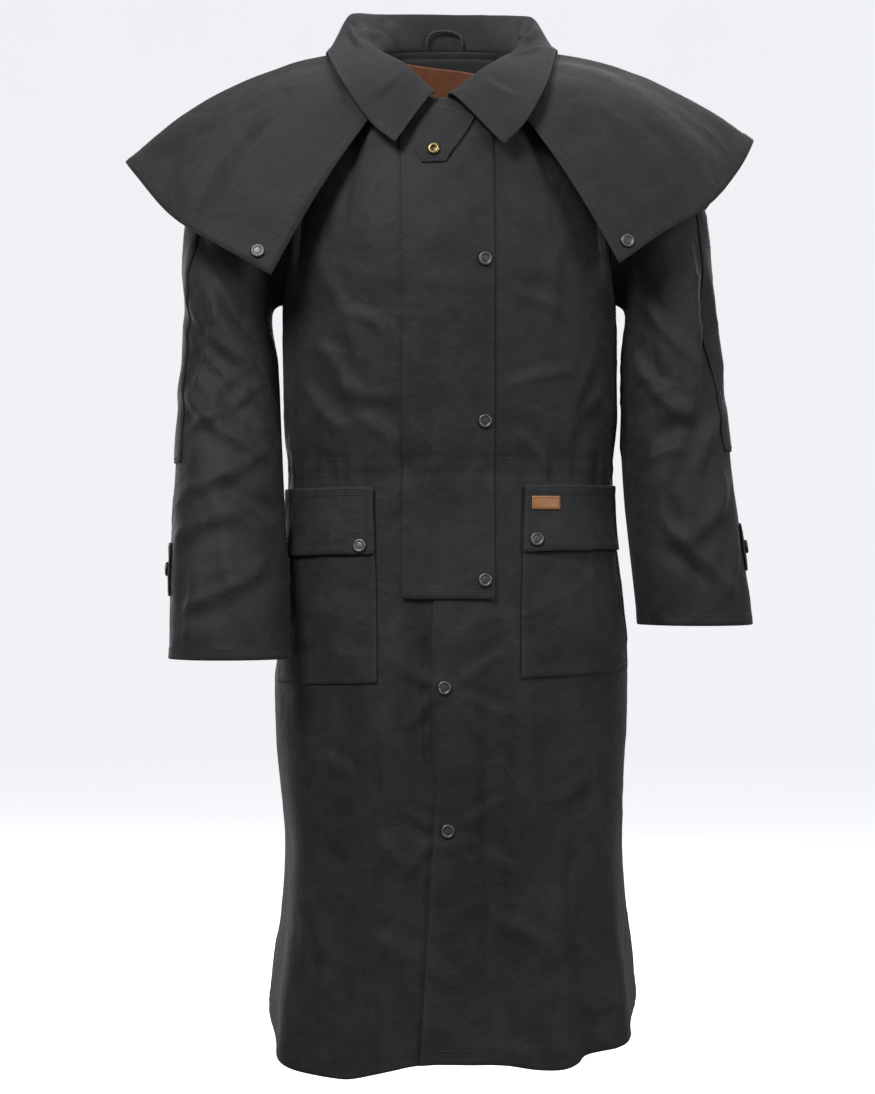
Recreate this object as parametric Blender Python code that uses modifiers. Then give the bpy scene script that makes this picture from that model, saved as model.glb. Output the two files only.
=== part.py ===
"""A long duster coat in black waxed cotton, filled out and hollow, as if somebody stood in it.

Metres, +Z up. The coat faces -Y and its origin lies between the shoulders, at the height of the
points where the shoulder seams meet the collar. Left and right are the viewer's.
"""

import math

import bpy
import numpy as np
from mathutils import Vector

# Cloth and seams
CLOTH = 0.0016
GAP = 0.0004
LAYER = CLOTH + GAP
SEAM_INSET = 0.00035
SHOULDER_INSET = 0.0009

# Body, round which the cloth runs as a rounded square
SQUARENESS = 2.35
ARMPIT = -0.330
HEM = -1.270
HEM_DIP_FROM = -0.865
CHEST_ROWS = 10

# Neck and shoulders
NECK_ARC = math.radians(36)
NECK_HALF_WIDTH = 0.092
NECK_ROUNDNESS = 0.9
NECK_SHOULDER = (-0.010, -0.008)
NECK_FRONT = (-0.105, -0.085)
NECK_BACK = (0.088, 0.021)
SHOULDER_TIP = (0.225, 0.005, -0.040)
ARMHOLE_SCOOP = (-0.030, 0.112)
NECK_LINING_ROWS = 6
NECK_LINING_INSETS = (0.0060, 0.0040)

# Snap fasteners, each a turned cap, and the ring snap of the throat tab
SNAP_RADIUS = 0.0085
SNAP_HEIGHT = 0.0030
RING_RADIUS = 0.0080
SNAP_SIDES = 14
SNAP_LIFT = 0.0005
STORM_SNAP_X = 0.046
STORM_SNAP_HEIGHTS = (-0.290, -0.489, -0.684)
LOWER_SNAPS = ((-0.004, -0.815), (0.000, -0.988))
POCKET_SNAPS = {"left": (-0.108, -0.642), "right": (0.110, -0.634)}

# Small pieces at the neck
LABEL_WALL = 0.0012
LINING_LIFT = LAYER + 0.0007
LABEL_LIFT = LINING_LIFT + LABEL_WALL + 2 * GAP
LABEL_LOW = ((174.5, 0.761), (192.8, 0.802))
LABEL_HIGH = ((173.2, 0.911), (190.9, 0.953))
THROAT_TAB_LIFT = 2 * LAYER + CLOTH + 0.0009
THROAT_TAB_ROWS = 8
RING_COLUMN = 2.6
RING_ROW = 1.5
POCKET_LABEL_X = 0.1035
POCKET_LABEL_MIDDLE = -0.590
LOOP_HALF_WIDTH = 0.024
LOOP_RISE = 0.020
LOOP_RADIUS = 0.0018
LOOP_MIDDLE_X = -0.003
LOOP_STAND_OFF = 0.0033
LOOP_BOW = 5.0
LOOP_FOOT = 0.006


def table(names, rows):
    """Named columns from rows of numbers."""
    return dict(zip(names.split(), np.array(rows, float).T))


BODY = table(
    "height half_width middle front_depth back_depth",
    [
        (-1.300, 0.2400, 0.0070, 0.204, 0.198),
        (-1.228, 0.2370, 0.0070, 0.200, 0.194),
        (-1.124, 0.2243, 0.0085, 0.191, 0.186),
        (-1.023, 0.2194, 0.0085, 0.184, 0.178),
        (-0.902, 0.2252, 0.0045, 0.177, 0.170),
        (-0.784, 0.2262, 0.0060, 0.170, 0.162),
        (-0.708, 0.2220, 0.0060, 0.162, 0.153),
        (-0.658, 0.2170, 0.0045, 0.156, 0.145),
        (-0.544, 0.2100, 0.0040, 0.149, 0.134),
        (-0.500, 0.2140, 0.0040, 0.150, 0.138),
        (-0.400, 0.2165, 0.0035, 0.152, 0.146),
        (-0.330, 0.2160, 0.0030, 0.150, 0.147),
    ],
)

HEM_DROP = table(
    "turn drop",
    [
        (-90, 0.020),
        (-62, -0.012),
        (-32, -0.022),
        (-6, 0.004),
        (12, 0.000),
        (28, -0.006),
        (46, 0.006),
        (62, 0.014),
        (90, 0.034),
        (135, 0.012),
        (180, 0.004),
        (225, 0.004),
        (270, 0.020),
    ],
)

# Soft folds of the skirt: where they run, as a turn round the body in degrees, and how far they stand out
FOLDS = table(
    "turn width top depth",
    [
        (-76, 13, -0.800, -0.007),
        (-58, 10, -0.820, 0.008),
        (-37, 12, -0.760, -0.011),
        (-13, 8, -0.700, 0.009),
        (13, 9, -0.620, -0.011),
        (29, 9, -0.800, 0.008),
        (42, 6, -0.980, -0.011),
        (56, 9, -0.840, 0.009),
        (78, 12, -0.860, -0.007),
        (112, 12, -0.700, 0.009),
        (136, 11, -0.740, -0.011),
        (160, 10, -0.640, 0.010),
        (181, 9, -0.600, -0.009),
        (203, 10, -0.680, 0.011),
        (228, 12, -0.720, -0.010),
        (252, 11, -0.780, 0.008),
    ],
)

# Heights that the cloth's rows follow, at the viewer's left side and at the right
ROWS = {
    "hem": (HEM, HEM),
    "hem_seam": (-1.236, -1.236),
    "skirt_6": (-1.175, -1.175),
    "skirt_5": (-1.110, -1.110),
    "skirt_4": (-1.045, -1.045),
    "skirt_3": (-0.980, -0.980),
    "skirt_2": (-0.920, -0.918),
    "skirt_1": (-0.865, -0.858),
    "pocket_bottom": (-0.815, -0.798),
    "pocket_low": (-0.762, -0.750),
    "storm_flap_end": (-0.707, -0.707),
    "pocket_flap_bottom": (-0.655, -0.647),
    "pocket_flap_middle": (-0.613, -0.607),
    "pocket_flap_top": (-0.571, -0.566),
    "waist": (-0.540, -0.540),
    "ribs_3": (-0.492, -0.492),
    "ribs_2": (-0.438, -0.438),
    "ribs_1": (-0.384, -0.384),
    "armpit": (ARMPIT, ARMPIT),
}
ROW_NAMES = list(ROWS)

# Upright lines of the front: a turn round the body in degrees, or a path of (height, x) places
FRONT_LINES = {
    "left_side": -90,
    "left_pocket_outer": -76,
    "left_flank": -62,
    "left_breast": -48,
    "left_neck": -36,
    "left_chest": ((HEM, -0.112), (ARMPIT, -0.112)),
    "left_pocket_inner": ((HEM, -0.076), (-0.815, -0.084), (-0.571, -0.091), (ARMPIT, -0.091)),
    "left_middle": ((HEM, -0.066), (-0.815, -0.069), (ARMPIT, -0.072)),
    "storm_flap_left": ((HEM, -0.056), (ARMPIT, -0.055)),
    "storm_flap_inner": ((HEM, -0.045), (-0.970, -0.036), (ARMPIT, -0.036)),
    "front_edge": ((HEM, -0.032), (-1.100, -0.021), (-0.970, -0.014), (-0.700, -0.017), (ARMPIT, -0.017)),
    "centre": ((HEM, 0.004), (ARMPIT, 0.004)),
    "snap_line": ((HEM, 0.025), (ARMPIT, 0.025)),
    "underlap": ((HEM, 0.044), (ARMPIT, 0.044)),
    "storm_flap_right": ((HEM, 0.057), (ARMPIT, 0.057)),
    "right_middle": ((HEM, 0.074), (ARMPIT, 0.074)),
    "right_pocket_inner": ((HEM, 0.086), (-0.798, 0.089), (-0.566, 0.095), (ARMPIT, 0.095)),
    "right_chest": ((HEM, 0.117), (ARMPIT, 0.117)),
    "right_neck": 36,
    "right_breast": 48,
    "right_flank": 62,
    "right_pocket_outer": 76,
    "right_side": 90,
}
FRONT_NAMES = list(FRONT_LINES)
BACK_TURNS = (90, 104, 118, 132, 144, 153, 162, 171, 180, 189, 198, 207, 216, 228, 242, 256, 270)
BACK_NECK = slice(BACK_TURNS.index(144), BACK_TURNS.index(216) + 1)

# How far the collar runs: its sewn edge, the roll and the outer edge, by the share of the way round
COLLAR = table(
    "way roll_x roll_y roll_z edge_x edge_y edge_z",
    [
        (-1.00, -0.0165, -0.1180, -0.0780, -0.0650, -0.1390, -0.1430),
        (-0.82, -0.0520, -0.0860, -0.0370, -0.0940, -0.1210, -0.1160),
        (-0.62, -0.0890, -0.0400, -0.0050, -0.1320, -0.0990, -0.0580),
        (-0.46, -0.1160, 0.0040, 0.0250, -0.1530, -0.0300, -0.0090),
        (-0.28, -0.1270, 0.0480, 0.0610, -0.1520, 0.0660, 0.0020),
        (-0.14, -0.0900, 0.0790, 0.0695, -0.1080, 0.1250, -0.0140),
        (0.00, 0.0000, 0.0920, 0.0720, 0.0000, 0.1430, -0.0180),
        (0.14, 0.0830, 0.0790, 0.0680, 0.1020, 0.1250, -0.0140),
        (0.28, 0.1140, 0.0490, 0.0570, 0.1410, 0.0640, 0.0035),
        (0.46, 0.1030, 0.0040, 0.0160, 0.1400, -0.0280, -0.0055),
        (0.62, 0.0760, -0.0400, -0.0120, 0.1260, -0.1000, -0.0570),
        (0.82, 0.0430, -0.0880, -0.0430, 0.0980, -0.1330, -0.1150),
        (1.00, 0.0040, -0.1180, -0.0790, 0.0700, -0.1390, -0.1460),
    ],
)
COLLAR_STAND_ROWS = 3
COLLAR_FALL_ROWS = 6
COLLAR_ROLL = 0.016
COLLAR_SEAM_RISE = 0.0012
COLLAR_ROLL_REACH = 1.6
COLLAR_FALL_GROWTH = 1.25
NECK_MIDDLE = (0.0, -0.010, 0.0)

# The throat tab's two ends, from the viewer's left to the right, as x at the armpits and a share of the way up
THROAT_TAB = table(
    "end_x end_share top_x top_share",
    [
        (-0.0360, 0.698, -0.0070, 0.950),
        (-0.0305, 0.665, -0.0010, 0.946),
        (-0.0255, 0.631, 0.0050, 0.936),
        (-0.0115, 0.639, 0.0115, 0.922),
        (0.0010, 0.643, 0.0190, 0.904),
        (0.0035, 0.669, 0.0255, 0.886),
        (0.0060, 0.690, 0.0315, 0.868),
    ],
)

# The shoulder cape's hem, by the turn round the neck, and the bend of the cloth on its way there
CAPE = table(
    "turn hem_x hem_y hem_z early_out early_down late_out late_down",
    [
        (37, 0.2110, -0.1480, -0.2940, 0.33, 0.22, 0.70, 0.62),
        (45, 0.2640, -0.1300, -0.2560, 0.36, 0.08, 0.76, 0.52),
        (58, 0.3140, -0.1060, -0.2250, 0.40, -0.06, 0.82, 0.50),
        (72, 0.3540, -0.0640, -0.1860, 0.44, -0.10, 0.84, 0.52),
        (83, 0.3830, -0.0200, -0.1460, 0.45, -0.04, 0.82, 0.56),
        (92, 0.4030, 0.0250, -0.1090, 0.45, -0.02, 0.80, 0.58),
        (104, 0.3850, 0.0830, -0.1340, 0.46, 0.02, 0.86, 0.56),
        (122, 0.3270, 0.1370, -0.2130, 0.48, 0.14, 0.92, 0.58),
        (148, 0.1800, 0.1720, -0.3190, 0.50, 0.16, 0.96, 0.58),
        (180, 0.0000, 0.1820, -0.3550, 0.50, 0.16, 0.96, 0.58),
        (212, -0.1800, 0.1720, -0.3220, 0.50, 0.16, 0.96, 0.58),
        (238, -0.3370, 0.1370, -0.2240, 0.48, 0.14, 0.92, 0.58),
        (256, -0.4010, 0.0830, -0.1500, 0.46, 0.02, 0.86, 0.56),
        (268, -0.4220, 0.0200, -0.1370, 0.45, -0.02, 0.80, 0.58),
        (278, -0.3980, -0.0240, -0.1680, 0.45, -0.04, 0.82, 0.56),
        (290, -0.3620, -0.0660, -0.2120, 0.44, -0.10, 0.84, 0.52),
        (303, -0.3260, -0.1040, -0.2430, 0.40, -0.06, 0.82, 0.50),
        (316, -0.2780, -0.1300, -0.2730, 0.36, 0.08, 0.76, 0.52),
        (323, -0.2170, -0.1480, -0.3090, 0.33, 0.22, 0.70, 0.62),
    ],
)
CAPE_COLUMNS = 44
CAPE_ROWS = 8
CAPE_NECK_OUT = 0.0045
CAPE_NECK_UP = 0.0054
CAPE_EARLY_DEPTH = 1.6
CAPE_LATE_DEPTH = 1.12
CAPE_SNAP_COLUMN = 0.40
CAPE_SNAP_ROW = 0.50

# Sleeve rings below the armhole, from the highest to the cuff
SLEEVES = {
    "left": table(
        "way x y z half_width half_depth",
        [
            (0.00, -0.2790, -0.022, -0.410, 0.0610, 0.080),
            (0.27, -0.2770, -0.056, -0.508, 0.0665, 0.079),
            (0.52, -0.2745, -0.088, -0.600, 0.0705, 0.076),
            (0.79, -0.2710, -0.116, -0.700, 0.0745, 0.072),
            (1.00, -0.2690, -0.132, -0.780, 0.0760, 0.067),
        ],
    ),
    "right": table(
        "way x y z half_width half_depth",
        [
            (0.00, 0.2860, -0.014, -0.400, 0.0615, 0.080),
            (0.35, 0.2940, -0.028, -0.521, 0.0690, 0.078),
            (0.60, 0.3015, -0.040, -0.605, 0.0725, 0.075),
            (0.82, 0.3090, -0.050, -0.680, 0.0725, 0.071),
            (1.00, 0.3150, -0.056, -0.741, 0.0720, 0.067),
        ],
    ),
}
SLEEVE_WAYS = (1.00, 0.91, 0.80, 0.71, 0.62, 0.53, 0.44, 0.35, 0.23, 0.11, 0.00)
SLEEVE_HEAD_ROWS = 7
SLEEVE_HEAD_REACH = 1.05
SLEEVE_HEAD_FALL = -0.30
SLEEVE_STILL_ROWS = 3
CUFF_TAB_WAYS = (0.80, 0.62)
CUFF_TAB_TURNS = (161, 253)
CUFF_SNAP_TURN = 177
PATCH_BOTTOM = 0.35
PATCH_ROWS = 8
PATCH_TURNS = (143, 289)

# Sleeve folds: they run from one (turn, height) to another, with a width across and a height
SLEEVE_FOLDS = table(
    "side turn_a height_a turn_b height_b width depth",
    [
        (-1, 150, -0.235, 40, -0.400, 0.022, -0.010),
        (-1, 120, -0.300, 30, -0.470, 0.020, 0.007),
        (-1, 100, -0.560, 30, -0.600, 0.016, -0.005),
        (-1, 250, -0.330, 320, -0.450, 0.022, -0.008),
        (-1, 200, -0.520, 300, -0.560, 0.018, -0.006),
        (1, 120, -0.240, 100, -0.480, 0.016, 0.007),
        (1, 150, -0.300, 140, -0.440, 0.016, -0.008),
        (1, 60, -0.500, 120, -0.490, 0.014, -0.005),
        (1, 60, -0.640, 100, -0.690, 0.016, -0.006),
        (1, 220, -0.330, 310, -0.450, 0.022, -0.008),
        (1, 200, -0.520, 300, -0.560, 0.018, -0.006),
    ],
)


def smooth(share):
    share = np.clip(share, 0, 1)
    return share * share * (3 - 2 * share)


def spline(at, places, values):
    """A smooth curve through values at rising places, held at its ends."""
    at = np.clip(at, places[0], places[-1])
    slopes = np.gradient(values, places)
    before = np.clip(np.searchsorted(places, at) - 1, 0, len(places) - 2)
    step = places[before + 1] - places[before]
    t = (at - places[before]) / step
    return (
        values[before] * (2 * t**3 - 3 * t**2 + 1)
        + values[before + 1] * (3 * t**2 - 2 * t**3)
        + slopes[before] * step * (t**3 - 2 * t**2 + t)
        + slopes[before + 1] * step * (t**3 - t**2)
    )


def signed_power(value, power):
    return np.sign(value) * np.abs(value) ** power


def across_to_turn(x, height):
    """The turn round the body's front at which the cloth lies at x."""
    share = (x - spline(height, BODY["height"], BODY["middle"])) / spline(height, BODY["height"], BODY["half_width"])
    return np.arcsin(np.clip(signed_power(share, SQUARENESS / 2), -1, 1))


def skirt_folds(turn, height):
    """How far the folds stand out: a bell across each fold, growing from its top to the hem."""
    degrees = np.degrees(turn)[..., None]
    off = (degrees - FOLDS["turn"] + 180) % 360 - 180
    grown = smooth((FOLDS["top"] - height[..., None]) / (FOLDS["top"] - HEM))
    return (FOLDS["depth"] * grown * np.exp(-((off / FOLDS["width"]) ** 2))).sum(axis=-1)


def skirt(turn, height):
    """Points of the body below the armpits: a rounded square at each height, with its folds."""
    half_width = spline(height, BODY["height"], BODY["half_width"])
    middle = spline(height, BODY["height"], BODY["middle"])
    front = spline(height, BODY["height"], BODY["front_depth"])
    back = spline(height, BODY["height"], BODY["back_depth"])
    depth = np.where(np.cos(turn) > 0, front, back)
    out = skirt_folds(turn, height)
    degrees = (np.degrees(turn) + 90) % 360 - 90
    drop = spline(degrees, HEM_DROP["turn"], HEM_DROP["drop"])
    x = middle + half_width * signed_power(np.sin(turn), 2 / SQUARENESS) + out * np.sin(turn)
    y = -depth * signed_power(np.cos(turn), 2 / SQUARENESS) - out * np.cos(turn)
    z = height + drop * smooth((HEM_DIP_FROM - height) / (HEM_DIP_FROM - HEM))
    return np.stack([x, y, z], axis=-1)


def around_neck(around, front):
    """The neckline by the turn round the neck itself: a rounded oval, deepest at the middle of the front."""
    deep = np.abs(np.cos(around)) ** NECK_ROUNDNESS
    wide = NECK_HALF_WIDTH * np.abs(np.sin(around)) ** NECK_ROUNDNESS
    middle_y, middle_z = (np.where(front, *pair) for pair in zip(NECK_FRONT, NECK_BACK))
    y = NECK_SHOULDER[0] + (middle_y - NECK_SHOULDER[0]) * deep
    z = NECK_SHOULDER[1] + (middle_z - NECK_SHOULDER[1]) * deep
    return np.stack([np.sign(np.sin(around)) * wide, y, z], axis=-1)


def neck_edge(turn, front):
    """Where the cloth at this turn ends above: the neckline near the middle, the shoulder seam beyond."""
    share = np.abs(np.sin(turn)) ** (2 / SQUARENESS)
    neck_share = math.sin(NECK_ARC) ** (2 / SQUARENESS)
    neck = around_neck(np.clip(share / neck_share, 0, 1) * math.pi / 2, front)
    shoulder = np.clip((share - neck_share) / (1 - neck_share), 0, 1)[..., None]
    edge = neck + (np.array(SHOULDER_TIP) - (NECK_HALF_WIDTH, *NECK_SHOULDER)) * shoulder
    edge[..., 0] *= np.sign(np.sin(turn))
    return edge


def bezier(share, first, second, third, last):
    share = share[..., None]
    rest = 1 - share
    return rest**3 * first + 3 * rest**2 * share * second + 3 * rest * share**2 * third + share**3 * last


def chest(turn, share, front=True):
    """Points of the body above the armpits: a bent line from the armpit ring up to the neck or the shoulder."""
    low = skirt(turn, np.full_like(turn, ARMPIT))
    top = neck_edge(turn, front)
    sign = -1.0 if front else 1.0
    wide = np.abs(np.sin(turn)) ** (2 / SQUARENESS)
    at_armhole = smooth((wide - 0.86) / 0.14)
    rise = (top - low)[..., 2]
    scoop_x = ARMHOLE_SCOOP[0] * np.sign(np.sin(turn)) * at_armhole
    scoop_y = ARMHOLE_SCOOP[1] * sign * at_armhole
    over = 0.030 + 0.034 * smooth((wide - 0.1) / 0.5)
    second = low + np.stack([scoop_x, scoop_y + sign * 0.008, 0.30 * rise], axis=-1)
    level = 0.28 - 0.22 * smooth((wide - 0.35) / 0.25)
    third = top + np.stack([scoop_x, (over * (1 - at_armhole)) * sign + scoop_y, -level * rise], axis=-1)
    return bezier(share, low, second, third, top)


def body_grid(turns_at, front):
    """The body's points, row by row from the hem up. turns_at gives the turn of each column at a height."""
    rows = []
    for left, right in ROWS.values():
        height = np.full(1, (left + right) / 2)
        turns = turns_at(height)
        rows.append(skirt(turns, height + (right - left) / 2 * np.sin(turns)))
    turns = turns_at(np.full(1, ARMPIT))
    for row in range(1, CHEST_ROWS + 1):
        rows.append(chest(turns, np.full_like(turns, row / CHEST_ROWS), front))
    return np.array(rows)


def front_turns(height):
    turns = []
    for line in FRONT_LINES.values():
        if isinstance(line, tuple):
            places = np.array(line, float).T
            turns.append(across_to_turn(np.interp(height, *places), height)[0])
        else:
            turns.append(math.radians(line))
    return np.array(turns)


def back_turns(height):
    """The back's lines keep their turns at every height."""
    return np.radians(np.array(BACK_TURNS, float)) + 0 * height


def between(low, high, rows):
    """Rows of points from a low line up to a high one."""
    return np.array([low + (high - low) * up for up in np.linspace(0, 1, rows)])


def unit(vectors):
    return vectors / np.linalg.norm(vectors, axis=-1, keepdims=True)


def outward(grid, closed=False):
    """The direction out of the cloth at each point of a grid that runs across, then up."""
    if closed:
        across = np.roll(grid, -1, axis=1) - np.roll(grid, 1, axis=1)
    else:
        across = np.gradient(grid, axis=1)
    return unit(np.cross(across, np.gradient(grid, axis=0)))


def trimmed(grid, sides, inset=SEAM_INSET):
    """The grid with its edges drawn in a little, so that two pieces stand apart at their seam."""
    grid = grid.copy()
    edges = {
        "first_row": (np.s_[0], np.s_[1]),
        "last_row": (np.s_[-1], np.s_[-2]),
        "first_column": (np.s_[:, 0], np.s_[:, 1]),
        "last_column": (np.s_[:, -1], np.s_[:, -2]),
    }
    for side in sides.split():
        edge, beside = edges[side]
        grid[edge] += unit(grid[beside] - grid[edge]) * inset
    return grid


def material(name, colour, roughness, metallic=0.0):
    made = bpy.data.materials.new(name)
    made.use_nodes = True
    shader = made.node_tree.nodes["Principled BSDF"]
    shader.inputs["Base Color"].default_value = (*colour, 1)
    shader.inputs["Roughness"].default_value = roughness
    shader.inputs["Metallic"].default_value = metallic
    return made


def finish(name, mesh, look):
    made = bpy.data.objects.new(name, mesh)
    mesh.materials.append(look)
    bpy.data.collections["duster_coat"].objects.link(made)
    return made


def cloth(name, grid, look, closed=False, wall=CLOTH):
    """A sheet of cloth through a grid of points, with its thickness to the inside."""
    rows, columns = grid.shape[:2]
    index = np.arange(rows * columns).reshape(rows, columns)
    if closed:
        index = np.hstack([index, index[:, :1]])
    corners = [index[:-1, :-1], index[:-1, 1:], index[1:, 1:], index[1:, :-1]]
    a, b, c, d = (corner.ravel() for corner in corners)
    faces = np.concatenate([np.stack([a, b, c], axis=1), np.stack([a, c, d], axis=1)])
    mesh = bpy.data.meshes.new(name)
    mesh.from_pydata(grid.reshape(-1, 3).tolist(), [], faces.tolist())
    made = finish(name, mesh, look)
    solid = made.modifiers.new("Cloth", "SOLIDIFY")
    solid.thickness = wall
    solid.offset = -1
    mesh.shade_smooth()
    return made


def row(name):
    return ROW_NAMES.index(name)


def column(name):
    return FRONT_NAMES.index(name)


def on_front(x, share, out):
    """Points over the chest, at x where the armpits are and at a share of the way up, moved out of the cloth."""
    turn = across_to_turn(x, np.full_like(x, ARMPIT))
    grid = chest(turn, share)
    step = 0.002
    across = chest(across_to_turn(x + step, np.full_like(x, ARMPIT)), share) - grid
    up = chest(turn, share + step) - grid
    return grid + unit(np.cross(across, up)) * out


def make_body(look, lining):
    """Both fronts, the back and the lining inside its neck. It gives back the grids that other pieces lie on."""
    front = body_grid(front_turns, True)
    back = body_grid(back_turns, False)
    out = outward(front)
    last = column("underlap")
    left = trimmed(front[:, : last + 1], "first_column")
    cloth("front_left", trimmed(left, "last_row", inset=SHOULDER_INSET), look)

    first = column("front_edge")
    lift = np.zeros(len(FRONT_NAMES))
    lift[first : last + 1] = LAYER
    lift[last + 1] = LAYER / 2
    overlap = front + out * lift[:, None]
    right = trimmed(overlap[:, first:], "last_column")
    cloth("front_right", trimmed(right, "last_row", inset=SHOULDER_INSET), look)
    whole = trimmed(back, "first_column last_column")
    cloth("back", trimmed(whole, "last_row", inset=SHOULDER_INSET), look)

    inside = back - outward(back) * LINING_LIFT
    top_inset, end_inset = NECK_LINING_INSETS
    lined = trimmed(inside[-NECK_LINING_ROWS:, BACK_NECK], "last_row", inset=top_inset)
    cloth("neck_lining", trimmed(lined, "first_column last_column", inset=end_inset), lining, wall=LABEL_WALL)
    return front, back


def make_storm_flap(front, look):
    columns = slice(column("storm_flap_left"), column("storm_flap_right") + 1)
    rows = slice(row("storm_flap_end"), None)
    lift = LAYER * np.array([1.0, 1.6, 2.0, 2.0, 2.0, 2.0, 2.0])
    flap = front[rows, columns] + outward(front)[rows, columns] * lift[:, None]
    cloth("storm_flap", trimmed(flap, "last_row"), look)


def make_pockets(front, look):
    out = outward(front)
    for side in ("left", "right"):
        ends = sorted((column(side + "_pocket_outer"), column(side + "_pocket_inner")))
        columns = slice(ends[0], ends[1] + 1)
        rows = slice(row("pocket_bottom"), row("pocket_flap_middle") + 1)
        cloth("pocket_" + side, front[rows, columns] + out[rows, columns] * LAYER, look)
        rows = slice(row("pocket_flap_bottom"), row("pocket_flap_top") + 1)
        cloth("pocket_flap_" + side, front[rows, columns] + out[rows, columns] * 2 * LAYER, look)


def sleeve_ring(rings, way, turns):
    """One ring of a sleeve: a level ellipse, where the turn runs from the inner side by the front to the outer."""
    x, y, z, half_width, half_depth = (
        spline(way, rings["way"], rings[name]) for name in ("x", "y", "z", "half_width", "half_depth")
    )
    side = np.sign(x)
    return np.stack(
        [
            x - side * half_width * np.cos(turns),
            y - half_depth * np.sin(turns),
            z + 0 * turns,
        ],
        axis=-1,
    )


def sleeve_folds(side, turns, height):
    """How far each fold stands out: a bell across the straight line between its two ends."""
    degrees = np.degrees(turns)
    out = np.zeros(np.broadcast(degrees, height).shape)
    for turn_a, height_a, turn_b, height_b, width, depth in zip(
        *(SLEEVE_FOLDS[name][SLEEVE_FOLDS["side"] == side] for name in list(SLEEVE_FOLDS)[1:])
    ):
        reach = 0.0012
        start = np.array([turn_a * reach, height_a])
        along = np.array([turn_b * reach, height_b]) - start
        length = np.hypot(*along)
        off = np.stack(np.broadcast_arrays(degrees * reach - start[0], height - start[1]), axis=-1)
        share = off @ along / length**2
        across = (off @ np.array([-along[1], along[0]])) / length
        ends = smooth((share + 0.25) / 0.35) * smooth((1.25 - share) / 0.35)
        out += depth * ends * np.exp(-((across / width) ** 2))
    return out


def sleeve_grid(side, armhole):
    """A sleeve from cuff to armhole. The armhole's points run from the armpit by the front and back again."""
    rings = SLEEVES[side]
    count = len(armhole)
    turns = np.arange(count) * 2 * math.pi / count
    rows = [sleeve_ring(rings, way, turns) for way in SLEEVE_WAYS]
    ring = rows[-1]
    sign = np.sign(ring[0, 0])
    span = np.linalg.norm(ring - armhole, axis=1)[:, None] * SLEEVE_HEAD_REACH
    fall = unit(rows[-2] - ring)
    leave = unit(np.array([sign, 0.0, SLEEVE_HEAD_FALL])) * span
    for step in range(1, SLEEVE_HEAD_ROWS + 1):
        t = 1 - step / SLEEVE_HEAD_ROWS
        rows.append(
            armhole * (2 * t**3 - 3 * t**2 + 1)
            + ring * (3 * t**2 - 2 * t**3)
            + leave * (t**3 - 2 * t**2 + t)
            + fall * span * (t**3 - t**2)
        )
    grid = np.array(rows)
    if sign < 0:
        grid = np.roll(grid[:, ::-1], 1, axis=1)
        turns = np.roll(turns[::-1], 1)
    folded = np.arange(len(grid))[::-1, None] >= SLEEVE_STILL_ROWS
    grid = grid + outward(grid, closed=True) * (sleeve_folds(sign, turns, grid[..., 2]) * folded)[..., None]
    return grid, np.degrees(turns)


def armhole_points(front, back, side):
    """The armhole's edge from the armpit by the front to the shoulder tip, then down the back."""
    armpit = row("armpit")
    edge = {"left": (0, -1), "right": (-1, 0)}[side]
    up = front[armpit:, edge[0]]
    down = back[armpit + 1 : -1, edge[1]][::-1]
    return np.concatenate([up, down])


def make_sleeves(front, back, look, metal):
    for side in ("left", "right"):
        sign = {"left": -1, "right": 1}[side]
        armhole = armhole_points(front, back, side) + np.array([sign * SHOULDER_INSET, 0, 0])
        grid, degrees = sleeve_grid(side, armhole)
        cloth("sleeve_" + side, grid, look, closed=True)
        out = outward(grid, closed=True)

        def patch(name, bottom, top, ends):
            columns = [i for i, turn in enumerate(degrees) if ends[0] <= turn <= ends[1]]
            rows = slice(bottom, top + 1)
            cloth(name, grid[rows][:, columns] + out[rows][:, columns] * LAYER, look)

        low = SLEEVE_WAYS.index(PATCH_BOTTOM)
        patch("elbow_patch_" + side, low, low + PATCH_ROWS - 1, PATCH_TURNS)
        low, high = (SLEEVE_WAYS.index(way) for way in CUFF_TAB_WAYS)
        patch("cuff_tab_" + side, low, high, CUFF_TAB_TURNS)
        at = float(np.interp(CUFF_SNAP_TURN, degrees, range(len(degrees)), period=360))
        place, normal = over_grid(grid, at, (low + high) / 2 - 0.1, LAYER + SNAP_LIFT)
        snap("snap_cuff_" + side, place, normal, metal)


def neckline(front, back):
    """The sewn edge of the collar, from the left front round the back to the right front."""
    left = front[-1, column("left_neck") : column("front_edge") + 1][::-1]
    right = front[-1, column("centre") : column("right_neck") + 1][::-1]
    return np.concatenate([left, back[-1, BACK_NECK][::-1][1:-1], right])


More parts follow.
